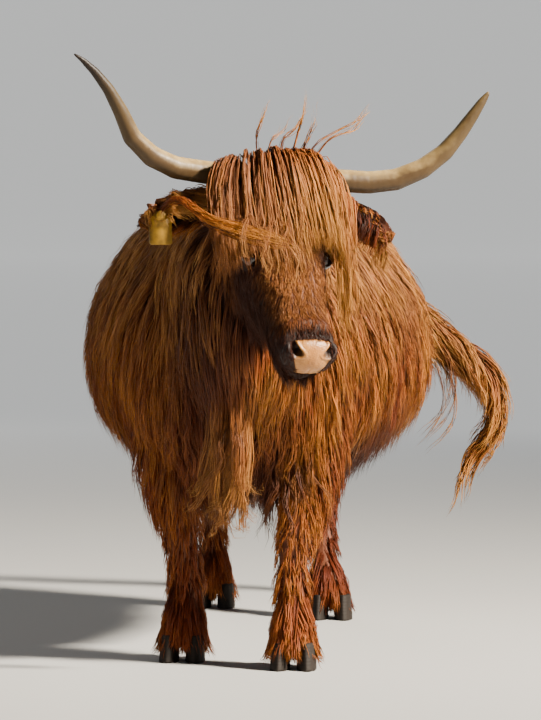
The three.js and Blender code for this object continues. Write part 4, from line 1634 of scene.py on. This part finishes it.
def hooves():
    """The claws with their faint rings, and the dewclaws."""
    finish = hoof_finish()
    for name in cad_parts:
        if name.startswith("hoof"):
            hoof = refined_copy(name, 0.0035, 5)
            points = positions(hoof)
            normals = normals_of(points, triangles_of(hoof))
            rings = np.sin(points[:, 2] * 2 * np.pi / 0.008) * smoothstep(points[:, 2], 0.008, 0.02)
            points = points + normals * (0.0005 * rings)[:, None]
            points[:, 2] = np.where(points[:, 2] < 0.0025, 0, points[:, 2])
            place_points(hoof, points)
            shown(hoof, name, finish)
        elif name.startswith("dewclaw"):
            shown(refined_copy(name, 0.003, 3), name, finish)


def hoof_finish():
    """Dull dark horn with fine upright streaks."""
    finish = Finish("hoof")
    place = finish.place()
    streaks = finish.noise(finish.stretched(place, 1, 1, 0.15), 120.0, 3.0)
    colour = finish.mix(finish.noise(place, 20.0, 3.0), srgb("140f0b"), srgb("2e2620"))
    colour = finish.mix(streaks * 0.5, colour, srgb("16110d"))
    finish.shader.inputs["Specular IOR Level"].default_value = 0.25
    return finish.wear(
        Base_Color=colour, Roughness=0.7, Normal=finish.bump(streaks, 0.3, 0.001)
    )


def eyes():
    """Dark balls with a clear bulge in front and a broad level pupil."""
    finish = eye_finish()
    for side, node in ((1, "eye_left"), (-1, "eye_right")):
        middle = Vector((side * EYE.x, EYE.y, EYE.z))
        bpy.ops.object.select_all(action="DESELECT")
        bpy.ops.mesh.primitive_uv_sphere_add(segments=48, ring_count=24, radius=EYE_RADIUS)
        ball = bpy.context.object
        ball.name = node + "_ball"
        points = positions(ball)
        points = points[:, [2, 1, 0]] * [side, -side if side > 0 else side, 1]
        out = points[:, 0] * side / EYE_RADIUS
        across = np.hypot(points[:, 1], points[:, 2])
        cornea = 0.0016 * np.clip(1 - (across / 0.012) ** 2, 0, 1) * (out > 0)
        points[:, 0] += side * cornea
        pupil = np.hypot(points[:, 1] / 0.0075, points[:, 2] / 0.0042)
        iris = across / 0.0115
        set_trait(ball, "pupil", np.where(out > 0, pupil, 9))
        set_trait(ball, "iris", np.where(out > 0, iris, 9))
        place_points(ball, out_of_head(points + np.array(middle)))
        in_edit(ball, lambda: bpy.ops.mesh.normals_make_consistent(inside=False))
        shown(ball, node, finish)


def eye_finish():
    """A near-black eye with a wet coat over it."""
    finish = Finish("eye")
    pupil = finish.spread(finish.trait("pupil"), 0.85, 1.05)
    iris = finish.mix(pupil, srgb("020102"), srgb("140a05"))
    colour = finish.mix(finish.spread(finish.trait("iris"), 0.92, 1.08), iris, srgb("1d120c"))
    finish.shader.inputs["Coat Weight"].default_value = 0.5
    finish.shader.inputs["Coat Roughness"].default_value = 0.02
    return finish.wear(Base_Color=colour, Roughness=0.12)


def tag():
    """The yellow tag in the right ear, with its moulded rim and pin."""
    plate = bpy.data.objects.new("tag_plate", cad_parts["ear_tag"].data.copy())
    bpy.context.scene.collection.objects.link(plate)
    plate.data.materials.clear()
    in_edit(
        plate,
        lambda: bpy.ops.mesh.remove_doubles(threshold=1e-5),
        lambda: bpy.ops.mesh.dissolve_limited(angle_limit=math.radians(1)),
    )
    bevel = plate.modifiers.new("edge", "BEVEL")
    bevel.width, bevel.segments, bevel.angle_limit = 0.0007, 2, math.radians(40)
    alone(plate)
    bpy.ops.object.modifier_apply(modifier="edge")
    finish = Finish("tag")
    # Painted shade: the tag's yellow is darkened all over, with dirty blotches that are darker still.
    grime_and_painted_shade = finish.noise(finish.place(), 45.0, 4.0)
    colour = finish.mix(finish.spread(grime_and_painted_shade, 0.4, 0.75), srgb("a87c12"), srgb("5c4212"))
    finish.wear(Base_Color=colour, Roughness=0.42)
    plate.data.materials.append(finish.material)
    bpy.ops.object.shade_smooth_by_angle(angle=math.radians(35))
    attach(plate, "root")
    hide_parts("ear_tag")


def mark_skin(skin):
    """Where the skin is bare or dark: under the hair it takes the coat's darker values, partly painted
    shade, and painted shade darkens round the eyes, inside the nostrils and along the crease of the
    mouth.
    """
    points = positions(skin)
    faces, _ = nearest(outside, points)
    solids = solid_of_face[faces]
    local = fold(in_head(points))
    nose = np.isin(solids, [MUZZLE, HEAD, JAW])
    bare = np.where(nose, pad_mask(local), 0)
    bare = np.where(solids == UDDER, 1, bare)
    ball = np.linalg.norm(local - EYE_PLACE, axis=1)
    # Painted shade round each eye, with the dark lid skin.
    lids = (1 - smoothstep(eye_oval(local), 1.8, 3.2)) * (ball < 0.06)
    along = -local[:, 1]
    # Painted shade inside the nostrils.
    pit = np.where(nose & (along > 0.455), 1 - smoothstep(nostril_oval(local), 0.8, 1.25), 0)
    # Painted shade along the crease of the mouth.
    lips = gauss(local[:, 2], -0.103 + 0.10 * (0.50 - along), 0.005) * smoothstep(along, 0.38, 0.40)
    _, dark = marks_with_painted_light_and_shade(points, solids, normals_of(points, triangles_of(skin)))
    dark = np.maximum.reduce([dark * (1 - bare), 0.97 * lids, pit, 0.7 * lips * nose])
    set_trait(skin, "bare", bare)
    set_trait(skin, "dark", np.clip(dark, 0, 1))


skin, outside, solid_of_face = shrunk_hide()
ear_faces, _ = nearest(outside, positions(skin))
cup_ears(skin, solid_of_face[ear_faces])
model_head(skin)
skin.data.materials.append(hide_finish())
hide = Hide(skin)
chart = Chart(skin)
coat = coat_finish()
trunk_coat()
leg_coat()
face_coat()
forelock_coat()
brisket_coat()
ear_coat()
chest_curls()
ear_locks()
ear_fringe()
poll_wisps()
swept_lock()
brow_curls()
tail_wisps()
tail_coat()
mark_skin(skin)
horns()
hooves()
eyes()
tag()
camera()
studio()
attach(skin, "root")
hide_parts(*FLESH)
